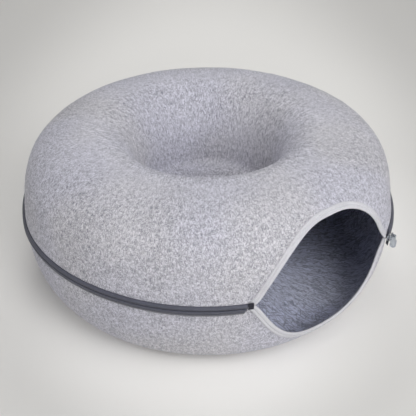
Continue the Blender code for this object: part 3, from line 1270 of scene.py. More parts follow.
@dataclass
class FeltShell:
    """One moulded felt shell and its loose fibres. It is cut from a square blank of the side given; the
    blank's side and area are not used.
    """

    shop: Workshop
    side: Side
    blank: float
    blank_area: float
    sector_columns: int = 96
    round_columns: int = 330
    seam_azimuth: float = math.radians(52.0)
    map_radius: float = 0.20
    edge_bulge: float = 0.0004
    inner_stretch: float = 0.42
    fibre_density: float = 15000.0
    tunnel_middle: tuple[float, float] = (0.165, 0.1)
    smooth_margin: float = 0.03
    ground_gap: float = 0.001
    ground_reach: float = 0.008
    binding_reach: float = 0.013
    tape_reach: float = 0.007
    wall_radius: float = 0.2
    corner_share: float = 0.12

    RIM_SHARES = (0.12, 0.5, 0.88)
    BUMPS = ((0.0006, 0.07, 0.0), (0.00022, 0.016, 5.0))  # height, size, seed
    BUMP_SEEDS = {True: 1.3, False: 7.7}  # for the outer face and for the inner one
    FIBRE_SEEDS = {Side.UPPER: 11, Side.LOWER: 23}

    def azimuths(self) -> np.ndarray:
        """Azimuths of the columns once round, crowding towards the entrance's corners.

        Returns:
            The angles, rising from the seam of the cloth map.
        """
        form = self.shop.form
        evenly = np.linspace(-1.0, 1.0, self.sector_columns + 1)
        shares = (evenly + np.sin(evenly * math.pi / 2)) / 2
        sector = form.entrance_azimuth + shares * form.entrance_half_angle
        rest = np.linspace(sector[-1], sector[0] + FULL_TURN, self.round_columns + 1)[1:-1]
        angles = np.concatenate([sector, rest])
        return np.sort((angles - self.seam_azimuth) % FULL_TURN) + self.seam_azimuth

    def sections(self) -> list[tuple[np.ndarray, int, int]]:
        """The parts of the profile beyond the outer wall.

        Returns:
            For each part its line, and how many rows it has outside and inside.
        """
        form = self.shop.form
        if self.side is Side.UPPER:
            rise, floor = form.crest_height - form.zip_height, form.well_floor - form.zip_height
            funnel = Quarter(form.crest_radius, form.well_radius - form.crest_radius, rise, form.funnel_power)
            edge = form.well_radius - form.well_fillet
            corner = arc((edge, floor + form.well_fillet), form.well_fillet, 0.0, -QUARTER_TURN)
            slope = np.concatenate([funnel.line(QUARTER_TURN, 0.0), corner[:1]])
            return [(slope, 44, 20), (corner, 7, 4), (np.array([[edge, floor], [0.0, floor]]), 15, 7)]
        flange = form.well_floor - 2 * form.felt_thickness - form.clearance
        rise = flange - form.flange_fillet
        wall = Quarter(form.rest_inner, form.well_radius - form.rest_inner, rise, form.inner_wall_power)
        inner = wall.line(QUARTER_TURN, 0.0) * (1.0, -1.0) + (0.0, rise - form.zip_height)
        ring = np.array([[form.rest_outer, -form.zip_height], [form.rest_inner, -form.zip_height]])
        edge = form.well_radius - form.flange_fillet
        corner = arc((edge, rise - form.zip_height), form.flange_fillet, 0.0, QUARTER_TURN)
        lip = np.array([[edge, flange], [form.flange_radius, flange]]) - (0.0, form.zip_height)
        return [(ring, 10, 6), (inner, 34, 16), (corner, 6, 3), (lip, 4, 3)]

    def profile(self, start_height: float, outside: bool) -> tuple[np.ndarray, int]:
        """The profile from the cut edge inwards.

        Args:
            start_height: distance of the cut edge from the zip's plane.
            outside: True for the rows of the visible layer, False for the fewer rows of the hidden one.

        Returns:
            Radius and height of each row, and the row at which the last part begins.
        """
        quarter = self.shop.form.outer(self.side)
        wall = quarter.line(quarter.angle_of(start_height), QUARTER_TURN)
        wall[:, 0] -= self.shop.form.drawn_in(self.side, wall[:, 1])
        wall[:, 1] *= self.side.value
        rows = [resample(wall, 54 if outside else 27)]
        rows += [resample(line, many if outside else few)[1:] for line, many, few in self.sections()]
        return np.concatenate(rows), sum(len(part) for part in rows[:-1]) - 1

    def layer(self, azimuths: np.ndarray, edges: np.ndarray, outside: bool) -> tuple[np.ndarray, np.ndarray]:
        """One uneven face of the felt.

        Args:
            azimuths: of the columns.
            edges: distance of the cut edge from the zip's plane in each column.
            outside: True for the visible face.

        Returns:
            Its places and its cloth map, by column and row from the cut edge on.
        """
        made = {height: self.profile(height, outside) for height in np.unique(edges)}
        lines = np.stack([made[height][0] for height in edges])
        along = unit(np.gradient(lines, axis=1))
        normals = np.stack([along[..., 1], -along[..., 0]], axis=-1) * self.side.value
        if not outside:
            lines = lines - normals * self.wall_thickness(azimuths, edges, lines)[..., None]
            lines[..., 0] = np.maximum(lines[..., 0], 0.0)
        run = run_along(lines)
        points, facing = (outward_of(azimuths)[:, None] * flat[..., :1] for flat in (lines, normals))
        points[..., 2], facing[..., 2] = lines[..., 1] + self.shop.form.zip_height, normals[..., 1]
        down = np.concatenate([run, run[:1]]) + np.append(edges, edges[0])[:, None]
        turned = np.append(azimuths, azimuths[0] + FULL_TURN)[:, None] * self.map_radius
        stretch = 1.0 if outside else self.inner_stretch
        maps = np.stack([np.broadcast_to(turned, down.shape), down * stretch], axis=-1)
        first_seed = self.BUMP_SEEDS[outside]
        uneven = sum(rise * ripple(points, size, first_seed + seed) for rise, size, seed in self.BUMPS)
        above_ground = (points[..., 2] - self.ground_gap) / self.smooth_margin
        uneven *= smooth_share(run / self.smooth_margin) * smooth_share(above_ground)
        points = points + facing * uneven[..., None]
        if self.side is Side.UPPER:
            return self.level_centre(points, maps, made[edges[0]][1])
        return points, maps

    def wall_thickness(self, azimuths: np.ndarray, edges: np.ndarray, lines: np.ndarray) -> np.ndarray:
        """The felt's thickness, pressed thin under the binding.

        Args:
            azimuths: of the columns.
            edges: distance of the cut edge from the zip's plane in each column.
            lines: radius and height of each place of the visible face.

        Returns:
            The thickness by column and row.
        """
        form = self.shop.form
        slope = np.gradient(edges) / (np.gradient(np.unwrap(azimuths)) * form.felt_radius)
        pressed = form.thickness(run_along(lines) / np.hypot(1.0, slope)[:, None])
        beside = smooth_share((np.abs(form.across(azimuths)) - 1.0) / self.corner_share)[:, None]
        return pressed + (form.felt_thickness - pressed) * beside

    def level_centre(self, points: np.ndarray, maps: np.ndarray, row: int) -> tuple[np.ndarray, np.ndarray]:
        """Gives the flat centre of the well a level cloth map of its own, with a doubled row at its rim.

        Args:
            points: places by column and row.
            maps: cloth map by column and row.
            row: where the flat centre begins.

        Returns:
            The places and the map with the doubled row.
        """
        points, maps = (np.insert(values, row, values[:, row], axis=1) for values in (points, maps))
        maps[:, row + 1 :] = np.concatenate([points, points[:1]])[:, row + 1 :, :2]
        return points, maps

    def build(self) -> bpy.types.Object:
        """Builds the felt and its loose fibres.

        Returns:
            The felt.
        """
        form, label = self.shop.form, self.side.label
        azimuths = self.azimuths()
        edges = form.edge_height(self.side, form.across(azimuths))
        (outer, outer_map), (inner, inner_map) = (self.layer(azimuths, edges, face) for face in (True, False))
        towards = unit(outer[:, 0] - outer[:, 1]) * self.edge_bulge
        depth = inner[:, 0] - outer[:, 0]
        rim = [outer[:, 0] + depth * share + towards * math.sin(math.pi * share) for share in self.RIM_SHARES]
        points = np.concatenate([outer[:, ::-1], np.stack(rim, axis=1), inner], axis=1)
        rim_map = outer_map[:, :1] - np.array([[[0.0, 0.001], [0.0, 0.002], [0.0, 0.003]]])
        maps = np.concatenate([outer_map[:, ::-1], rim_map, inner_map], axis=1)
        closed = self.side is Side.LOWER
        if closed:
            maps = np.concatenate([maps, maps[:, :1]], axis=1)
        points = form.settle(points)
        mesh = grid_mesh(label, points, maps, wrap_columns=True, wrap_rows=closed, flip=not closed)
        piece = link_piece(f"{label}_felt", mesh, self.shop.felt)
        self.mark_bare(mesh)
        self.mark_inside(mesh)
        fibres = self.shop.repeats.grow(
            f"{label}_fibres",
            mesh,
            self.shop.repeats.over_surface,
            Density=self.fibre_density,
            Length=0.0065,
            Lift=0.0007,
            Radius=0.00006,
            Seed=self.FIBRE_SEEDS[self.side],
            Finish=self.shop.loose_fibre,
        )
        self.shop.hand_over(fibres, "felt")
        self.shop.hand_over(piece, "felt", f"{label}_shell")
        return piece

    def mark_bare(self, mesh: bpy.types.Mesh) -> None:
        """Marks where the felt is bare of binding, tape and ground, for the loose fibres.

        Args:
            mesh: the felt's mesh.
        """
        form = self.shop.form
        places = vertex_places(mesh)
        height = self.side.value * (places[:, 2] - form.zip_height)
        across = form.across(np.arctan2(places[:, 1], places[:, 0]))
        beside_entrance = np.abs(across) < 1.0 + self.corner_share
        reach = np.where(beside_entrance, self.binding_reach, self.tape_reach)
        near_edge = height < form.edge_height(self.side, np.clip(across, -1, 1)) + reach
        near_edge &= np.hypot(places[:, 0], places[:, 1]) > self.wall_radius
        near_ground = places[:, 2] < self.ground_reach
        set_point_values(mesh, BARE, np.where(near_edge | near_ground, 0.0, 1.0))

    def mark_inside(self, mesh: bpy.types.Mesh) -> None:
        """Marks the face of the felt that lines the tunnel, by half for its roof and fully for its floor, for
        its painted shade.

        Args:
            mesh: the felt's mesh.
        """
        normals = np.zeros(len(mesh.vertices) * 3, np.float32)
        mesh.vertex_normals.foreach_get("vector", normals)
        normals = normals.reshape(-1, 3)
        places = vertex_places(mesh)
        middle = outward_of(np.arctan2(places[:, 1], places[:, 0])) * self.tunnel_middle[0]
        middle[:, 2] = self.tunnel_middle[1]
        inside = ((places - middle) * normals).sum(axis=1) < 0
        if self.side is Side.UPPER:
            under_well = np.hypot(places[:, 0], places[:, 1]) < self.shop.form.well_radius - 0.001
            inside = np.where(under_well, normals[:, 2] < -0.5, inside) * 0.5
        set_point_values(mesh, INSIDE, inside * 1.0)


@dataclass(frozen=True)
class CutEdge:
    """Places along the felt's cut edge, each with the ways out of the felt, along the edge and onto it."""

    points: np.ndarray
    normals: np.ndarray
    along: np.ndarray
    onto: np.ndarray
    length: float


@dataclass
class EdgeBinding:
    """A strip of cloth folded round the cut edge of one half of the entrance."""

    shop: Workshop
    side: Side
    columns: int = 300
    thickness: float = 0.00084
    lift: float = 0.0005
    overhang: float = 0.0009
    valley: float = 0.0037
    inner_share: float = 0.60
    stitch_pitch: float = 0.0029
    stitch_rise: float = 0.00008
    stitch_share: float = 0.86  # of the pitch
    stitch_radius: float = 0.00019
    stitch_crown: float = 0.00016
    unsewn_columns: int = 4
    stitch_dent: float = 0.10
    waviness: float = 0.00012
    wave_length: float = 0.012
    bight_opening: float = 0.3
    corner_reach: float = 0.0034

    LEG = (  # distance onto the felt, swell
        (0.0069, 0.60), (0.0067, 0.95), (0.0063, 1.10), (0.0058, 1.30), (0.0053, 1.30), (0.0047, 1.00),
        (0.0041, 0.66), (0.0037, 0.52), (0.0033, 0.66), (0.0028, 1.00), (0.0022, 1.30), (0.0014, 1.40),
        (0.0006, 1.20),
    )  # fmt: skip

    @property
    def name(self) -> str:
        """The strip's name, from its side."""
        return f"{self.side.label}_binding"

    def at(self, places: np.ndarray) -> tuple[np.ndarray, np.ndarray]:
        """Points and normals of the cut edge at places over the entrance, from -1 to 1."""
        form = self.shop.form
        azimuths = form.entrance_azimuth + places * form.entrance_half_angle
        return form.on_wall(self.side, azimuths, form.edge_height(self.side, places))

    def trace(self) -> CutEdge:
        """Follows the felt's cut edge in even steps.

        Returns:
            The edge.
        """
        evenly = np.linspace(-1.0, 1.0, 4001)
        run = run_along(self.at(evenly)[0])
        points, normals = self.at(np.interp(np.linspace(0.0, run[-1], self.columns), run, evenly))
        along = unit(np.gradient(points, axis=0))
        return CutEdge(points, normals, along, unit(np.cross(normals, along) * self.side.value), run[-1])

    def on_felt(self, edge: CutEdge, inwards: float, outwards: float) -> np.ndarray:
        """Points beside the cut edge.

        Args:
            edge: the cut edge.
            inwards: distance onto the felt, negative over the opening.
            outwards: distance out from the felt's visible face.

        Returns:
            One point for each column.
        """
        form = self.shop.form
        beside = edge.points + edge.onto * inwards
        if inwards <= 0.0:
            return beside + edge.normals * outwards
        azimuths = np.arctan2(beside[:, 1], beside[:, 0])
        heights = np.maximum(self.side.value * (beside[:, 2] - form.zip_height), 0.0)
        points, normals = form.on_wall(self.side, azimuths, heights)
        return points + normals * outwards

    def middle_line(self) -> list[tuple[float, float, float]]:
        """The strip's middle line across its width.

        Returns:
            For each row the distance onto the felt, the distance out from its face, and half the thickness.
        """
        half = self.thickness / 2
        thin = float(self.shop.form.thickness(0.0)) / 2
        outer = [(inwards, self.lift + half * (swell - 1.0), half * swell) for inwards, swell in self.LEG]
        bight = [
            (-self.overhang * math.cos(angle), -thin + (thin + self.lift) * math.sin(angle), half)
            for angle in np.linspace(QUARTER_TURN - self.bight_opening, -QUARTER_TURN + self.bight_opening, 9)
        ]
        inner = []
        for inwards, outwards, swell in reversed(outer):
            shorter = inwards * self.inner_share
            inner.append((shorter, -float(self.shop.form.thickness(shorter)) - outwards, swell))
        return outer + bight + inner

    def build(self) -> bpy.types.Object:
        """Builds the strip and its stitches.

        Returns:
            The strip.
        """
        edge = self.trace()
        rows = self.middle_line()
        middle = np.stack([self.on_felt(edge, inwards, outwards) for inwards, outwards, _ in rows], axis=1)
        across = unit(np.gradient(middle, axis=1))
        facing = unit(np.cross(across, edge.along[:, None]) * -self.side.value)
        stitch_turns = np.arange(self.columns) / self.columns * edge.length / self.stitch_pitch * FULL_TURN
        pulled_in = (1.0 - self.stitch_dent * np.cos(stitch_turns))[:, None]
        swelling = np.array([swell for _, _, swell in rows])[None, :] * pulled_in
        uneven = self.waviness * ripple(middle, self.wave_length, 3.3)
        faces = (middle + facing * (swelling + uneven)[..., None], middle - facing * swelling[..., None])
        settle = self.shop.form.settle
        face, back = (settle(self.meet_at_corners(points, edge.along)) for points in faces)
        width = run_along(middle).mean(axis=0)
        length = np.linspace(0.0, edge.length, self.columns)
        mesh = strip_mesh(self.name, face, back, length, width, flip=self.side is Side.UPPER)
        piece = link_piece(f"{self.name}_cloth", mesh, self.shop.binding)
        stitches = self.sew_down(edge)
        self.shop.hand_over(piece, "binding", self.name)
        round(float(edge.length), 3)
        f"{self.side.label}_felt"
        return piece

    def meet_at_corners(self, points: np.ndarray, along: np.ndarray) -> np.ndarray:
        """Runs the strip's ends on towards the zip's plane, where the other strip meets them.

        Args:
            points: places by column, row and axis.
            along: the way along the strip at each column.

        Returns:
            The places with the first and the last column moved.
        """
        plane = self.shop.form.zip_height + self.side.value * self.shop.form.clearance
        met = points.copy()
        for end, way in ((0, -along[0]), (-1, along[-1])):
            reach = np.clip((plane - points[end, :, 2]) / way[2], 0.0, self.corner_reach)
            met[end] = points[end] + way * reach[:, None]
        return met

    def sew_down(self, edge: CutEdge) -> bpy.types.Object:
        """Sews the strip down on both faces.

        Args:
            edge: the cut edge.

        Returns:
            The stitches of both faces as one piece.
        """
        inner_valley = self.valley * self.inner_share
        below = -float(self.shop.form.thickness(inner_valley)) - self.lift - self.stitch_rise
        sewn = slice(self.unsewn_columns, -self.unsewn_columns)
        seams = [
            self.shop.repeats.sew(
                f"{self.name}_stitches_{word}",
                self.shop.form.settle(self.on_felt(edge, inwards, outwards)[sewn]),
                edge.normals[sewn] * way,
                stitch_mesh(self.stitch_pitch * self.stitch_share, self.stitch_radius, self.stitch_crown),
                Pitch=self.stitch_pitch,
                Turn_Spread=0.10,
                Size_Spread=0.07,
                Seed=5,
                Finish=self.shop.pale_thread,
            )
            for word, way, inwards, outwards in (
                ("out", 1, self.valley, self.lift + self.stitch_rise),
                ("in", -1, inner_valley, below),
            )
        ]
        return self.shop.hand_over_seams(f"{self.name}_stitches", seams, self.shop.pale_thread, "binding")


@dataclass(frozen=True)
class TapeSeam:
    """A row of stitches on the tape: where it runs, how far it faces up, and what its stitches are like."""

    depth: float
    height: float
    tilt: float
    stitch_length: float
    stitch_radius: float
    pitch: float
    turn: float = 0.0
    turn_spread: float = 0.05


@dataclass
class ZipLine:
    """The two halves of the zip's tape, its coil, its end tab and its tail."""

    shop: Workshop
    zip_radius: float = 0.250
    start: float = math.radians(-26.9)
    ears: float = math.radians(1.35)
    end: float = math.radians(280.2)
    lower_end: float = math.radians(279.7)
    tab_ends: tuple[float, float] = (math.radians(280.10), math.radians(281.50))
    columns: int = 560
    tape_thickness: float = 0.0009
    ear_reach: float = 0.03  # along the zip, as an angle
    end_reach: float = 0.012
    end_slant: float = 0.010
    waviness: float = 0.00016
    wave_length: float = 0.011
    stitch_proud: float = 0.0003
    stitch_crown: float = 0.0002
    unsewn: float = 0.003
    coil_pitch: float = 0.0016
    coil_wire: float = 0.00026
    coil_depth: float = 0.0030
    coil_stagger: float = 0.0004
    tail_half_width: float = 0.0019
    tail_half_thickness: float = 0.00032
    tail_shift: tuple[float, float] = (0.0014, 0.0026)  # outwards, up

    TAPE_ROWS = {  # depth inside the zip's radius, distance from the zip's plane, swell
        Side.UPPER: (
            (0.00400, 0.00425, 0.60), (0.00370, 0.00400, 0.95), (0.00305, 0.00355, 1.05),
            (0.00235, 0.00305, 1.00), (0.00165, 0.00255, 1.00), (0.00110, 0.00205, 1.05),
            (0.00085, 0.00155, 1.05), (0.00100, 0.00115, 1.00), (0.00150, 0.00095, 0.90),
            (0.00250, 0.00095, 0.80), (0.00380, 0.00100, 0.80), (0.00690, 0.00105, 0.80),
        ),
        Side.LOWER: (
            (0.00440, 0.01010, 0.70), (0.00400, 0.00960, 1.00), (0.00305, 0.00850, 1.05),
            (0.00220, 0.00735, 1.00), (0.00160, 0.00600, 1.00), (0.00130, 0.00500, 1.00),
            (0.00120, 0.00420, 0.85), (0.00138, 0.00370, 0.70), (0.00120, 0.00325, 0.80),
            (0.00072, 0.00270, 1.15), (0.00050, 0.00210, 1.25), (0.00056, 0.00160, 1.15),
            (0.00095, 0.00118, 1.00), (0.00160, 0.00098, 0.90), (0.00250, 0.00095, 0.80),
            (0.00350, 0.00098, 0.80), (0.00460, 0.00102, 0.80),
        ),
    }  # fmt: skip
    COIL_SEAMS = {  # depth, height, tilt
        Side.UPPER: (0.00190, 0.00285, 0.6),
        Side.LOWER: (0.00095, 0.00370, 0.0),
    }
    COIL_TURN = (  # along the coil, out, up
        (-0.00015, 0.0016, -0.0008),
        (-0.00010, -0.0002, -0.0008),
        (0.0, -0.0008, 0.0),
        (0.00010, -0.0002, 0.0008),
        (0.00015, 0.0016, 0.0008),
    )

    def ring(self, azimuths: np.ndarray, depth: float | np.ndarray, height: float | np.ndarray) -> np.ndarray:
        """Points on the zip's circle.

        Args:
            azimuths: angles round the axis.
            depth: how far inside the zip's radius.
            height: how far above the zip's plane.

        Returns:
            The points, settled with the felt.
        """
        radius = self.zip_radius - depth + np.zeros_like(azimuths)
        points = outward_of(azimuths) * radius[..., None]
        points[..., 2] = self.shop.form.zip_height + height
        return self.shop.form.settle(points)

    def build_tape(self, side: Side, end: bpy.types.Object) -> bpy.types.Object:
        """Builds half of the tape with its stitches.

        Args:
            side: above or below the coil.
            end: the short piece at this tape's own end; not used.

        Returns:
            The tape.
        """
        last = self.end if side is Side.UPPER else self.lower_end
        azimuths = np.linspace(self.start, last, self.columns)
        depths, heights, swells = np.array(self.TAPE_ROWS[side]).T
        near_start = smooth_share(1 - (azimuths - self.start) / self.ear_reach)
        slant = near_start[:, None] * self.ears * smooth_share((heights - 0.0015) / 0.002)
        if side is Side.LOWER:
            near_end = smooth_share((azimuths - (last - self.end_reach)) / self.end_reach)
            slant = slant - near_end[:, None] * self.end_slant * smooth_share((heights - 0.001) / 0.006)
        wander = self.waviness * ripple(self.ring(azimuths, 0.0, 0.0), self.wave_length, 2.1 + side.value)
        row_heights = heights + wander[:, None] * smooth_share((heights - heights[0] + 0.0016) / 0.0016)
        middle = self.ring(azimuths[:, None] + slant, depths, side.value * row_heights)
        across, along = (unit(np.gradient(middle, axis=axis)) for axis in (1, 0))
        half = unit(np.cross(across, along) * side.value) * (self.tape_thickness / 2 * swells[:, None])
        width = run_along(middle).mean(axis=0)
        length = (azimuths - self.start) * self.zip_radius
        mesh = strip_mesh("tape", middle + half, middle - half, length, width, flip=side is Side.LOWER)
        piece = link_piece(f"zip_tape_{side.label}_cloth", mesh, self.shop.tape)
        sewn = azimuths[azimuths > self.start + self.ears + self.unsewn][:-6]
        stitches = self.sew_tape(side, sewn)
        self.shop.hand_over(piece, "zip_tape", f"zip_tape_{side.label}")
        f"{side.label}_felt"
        return piece

    def sew_tape(self, side: Side, azimuths: np.ndarray) -> bpy.types.Object:
        """Sews the tape's outer edge to the felt, and the coil to the tape.

        Args:
            side: above or below the coil.
            azimuths: where the stitches run.

        Returns:
            The stitches as one piece.
        """
        depth, height, _ = self.TAPE_ROWS[side][1]
        edge = TapeSeam(depth - self.stitch_proud, height, 0.6, 0.0024, 0.00026, 0.0027, 1.05, 0.25)
        coil = TapeSeam(*self.COIL_SEAMS[side], 0.0020, 0.00017, 0.0024)
        seams = [
            self.shop.repeats.sew(
                f"zip_{word}_{side.label}",
                self.ring(azimuths, seam.depth, side.value * seam.height),
                unit(outward_of(azimuths) + (0.0, 0.0, seam.tilt * side.value)),
                stitch_mesh(seam.stitch_length, seam.stitch_radius, self.stitch_crown),
                Pitch=seam.pitch,
                Turn=seam.turn,
                Turn_Spread=seam.turn_spread,
                Size_Spread=0.15,
                Seed=17,
                Finish=self.shop.dark_thread,
            )
            for word, seam in (("edge", edge), ("coil", coil))
        ]
        name = f"zip_stitches_{side.label}"
        return self.shop.hand_over_seams(name, seams, self.shop.dark_thread, "zip_tape")

    def build_coil(self) -> bpy.types.Object:
        """Builds the row of interlocked turns behind the groove.

        Returns:
            The coil.
        """
        azimuths = np.linspace(self.start, self.end, self.columns)
        path, radii = np.array(self.COIL_TURN), np.full(5, self.coil_wire)
        turns = [
            wire_mesh("turn", path * (1, way, 1) - (way * self.coil_stagger, 0, 0), radii, 5)
            for way in (1, -1)
        ]
        coil = self.shop.repeats.sew(
            "zip_coil_turns",
            self.ring(azimuths, self.coil_depth, 0.0),
            outward_of(azimuths),
            joined_mesh("turns", turns),
            Pitch=self.coil_pitch,
            Seed=3,
            Finish=self.shop.nylon,
        )
        return self.shop.hand_over(coil, "zip_coil", "zip_coil")

    def build_end_tab(self) -> bpy.types.Object:
        """Builds the folded dark end of the tape at the entrance's left corner.

        Returns:
            The tab.
        """
        low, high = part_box("zip_end_tab")
        columns, rows = 15, 17
        shares = np.linspace(0.0, 1.0, columns)
        azimuths = np.interp(shares, (0.0, 1.0), self.tab_ends)
        heights = np.linspace(low.z, high.z, rows)
        swell = 0.00055 * (1 - np.abs(2 * shares - 1) ** 6) + 0.00022 * (np.abs(shares - 0.5) > 0.32)
        ridge = 0.00016 * np.cos(np.linspace(0.0, 1.0, rows) * FULL_TURN * 2)
        rounded = 1 - np.abs(np.linspace(-1.0, 1.0, rows)) ** 8
        angle, height = np.meshgrid(azimuths, heights - self.shop.form.zip_height, indexing="ij")
        face = self.ring(angle, 0.0011 - (swell[:, None] + ridge) * rounded, height)
        back = self.ring(angle, 0.0016 + 0.00008 * rounded, height)
        length = (azimuths - azimuths[0]) * self.zip_radius
        mesh = strip_mesh("zip_end_tab", face, back, length, heights)
        piece = link_piece("zip_end_tab_cloth", mesh, self.shop.tab)
        return self.shop.hand_over(piece, "zip_tape", "zip_end_tab")

    def build_tail(self) -> bpy.types.Object:
        """Builds the short free end of the tape under the slider.

        Returns:
            The tail.
        """
        low, high = (np.array(corner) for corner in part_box("zip_tail"))
        centre = (low + high) / 2
        outward = outward_of(math.atan2(centre[1], centre[0]))
        upright = np.array([0.0, 0.0, 1.0])
        sideways = 0.5 * np.cross(upright, outward) - 0.87 * outward
        facing = np.cross(sideways, upright)
        half_height = (high[2] - low[2]) / 2 + 0.0004
        centre = centre + outward * self.tail_shift[0] + upright * self.tail_shift[1]
        across, down = np.linspace(-1.0, 1.0, 9), np.linspace(1.0, -1.0, 16)
        share, fall = np.meshgrid(across, down, indexing="ij")
        fallen = (1 - fall) / 2
        narrowed = self.tail_half_width * share * (1 - 0.12 * fallen)
        middle = self.shop.form.settle(centre) + sideways * narrowed[..., None]
        middle[..., 2] += half_height * fall + 0.0006 * np.sin(share * 2.6) * fallen
        bow = 0.00022 * np.sin(fall * 2.4) + 0.00012 * np.cos(share * 4.0)
        half = self.tail_half_thickness
        face, back = (middle + facing * (bow + out)[..., None] for out in (half, -half))
        widths, heights = across * self.tail_half_width, down * half_height
        mesh = strip_mesh("zip_tail", face, back, widths, heights, flip=True)
        piece = link_piece("zip_tail_cloth", mesh, self.shop.tab)
        return self.shop.hand_over(piece, "zip_tape", "zip_tail")


class Lie(Enum):
    """How a flat outline lies: the axes of its two directions and of its thickness."""

    FACING_OUT = (1, 2, 0)
    FACING_ALONG = (0, 2, 1)


def add_plate(work: bmesh.types.BMesh, outline: Outline, low: float, high: float, lie: Lie) -> None:
    """Adds a plate with a flat outline.

    Args:
        work: what it is added to.
        outline: its corners in order.
        low: its near face.
        high: its far face.
        lie: how it lies.
    """

    def place(*parts: float) -> Vector:
        """A place from its two parts in the outline and its depth."""
        return Vector([part for _, part in sorted(zip(lie.value, parts))])

    base = work.faces.new([work.verts.new(place(*corner, low)) for corner in outline])
    top = bmesh.ops.extrude_face_region(work, geom=[base])["geom"]
    moved = [item for item in top if isinstance(item, bmesh.types.BMVert)]
    bmesh.ops.translate(work, vec=place(0.0, 0.0, high - low), verts=moved)


def mirrored(outline: Outline) -> Outline:
    """An outline turned over across its first direction, in the order that goes on from it."""
    return [(-first, second) for first, second in reversed(outline)]


def cut_plates(mesh: bpy.types.Mesh, cutters: list[tuple[Outline, float, float]]) -> bpy.types.Mesh:
    """Cuts plates that face along out of a mesh.

    Args:
        mesh: what is cut.
        cutters: outline, near face and far face of each plate.

    Returns:
        The cut mesh.
    """
    body = link_piece("uncut", mesh)
    tools = []
    for outline, low, high in cutters:
        plate = bpy.data.meshes.new("cutter")
        with editing(plate) as work:
            add_plate(work, outline, low, high, Lie.FACING_ALONG)
            bmesh.ops.recalc_face_normals(work, faces=work.faces)
        tools.append(link_piece("cutter", plate))
        modifier = body.modifiers.new("Cut", "BOOLEAN")
        modifier.object, modifier.operation, modifier.solver = tools[-1], "DIFFERENCE", "EXACT"
    cut = plain_copy(body)
    for piece in (body, *tools):
        bpy.data.objects.remove(piece)
    with editing(cut) as work:
        bmesh.ops.dissolve_limit(work, angle_limit=math.radians(1), verts=work.verts, edges=work.edges)
    return cut


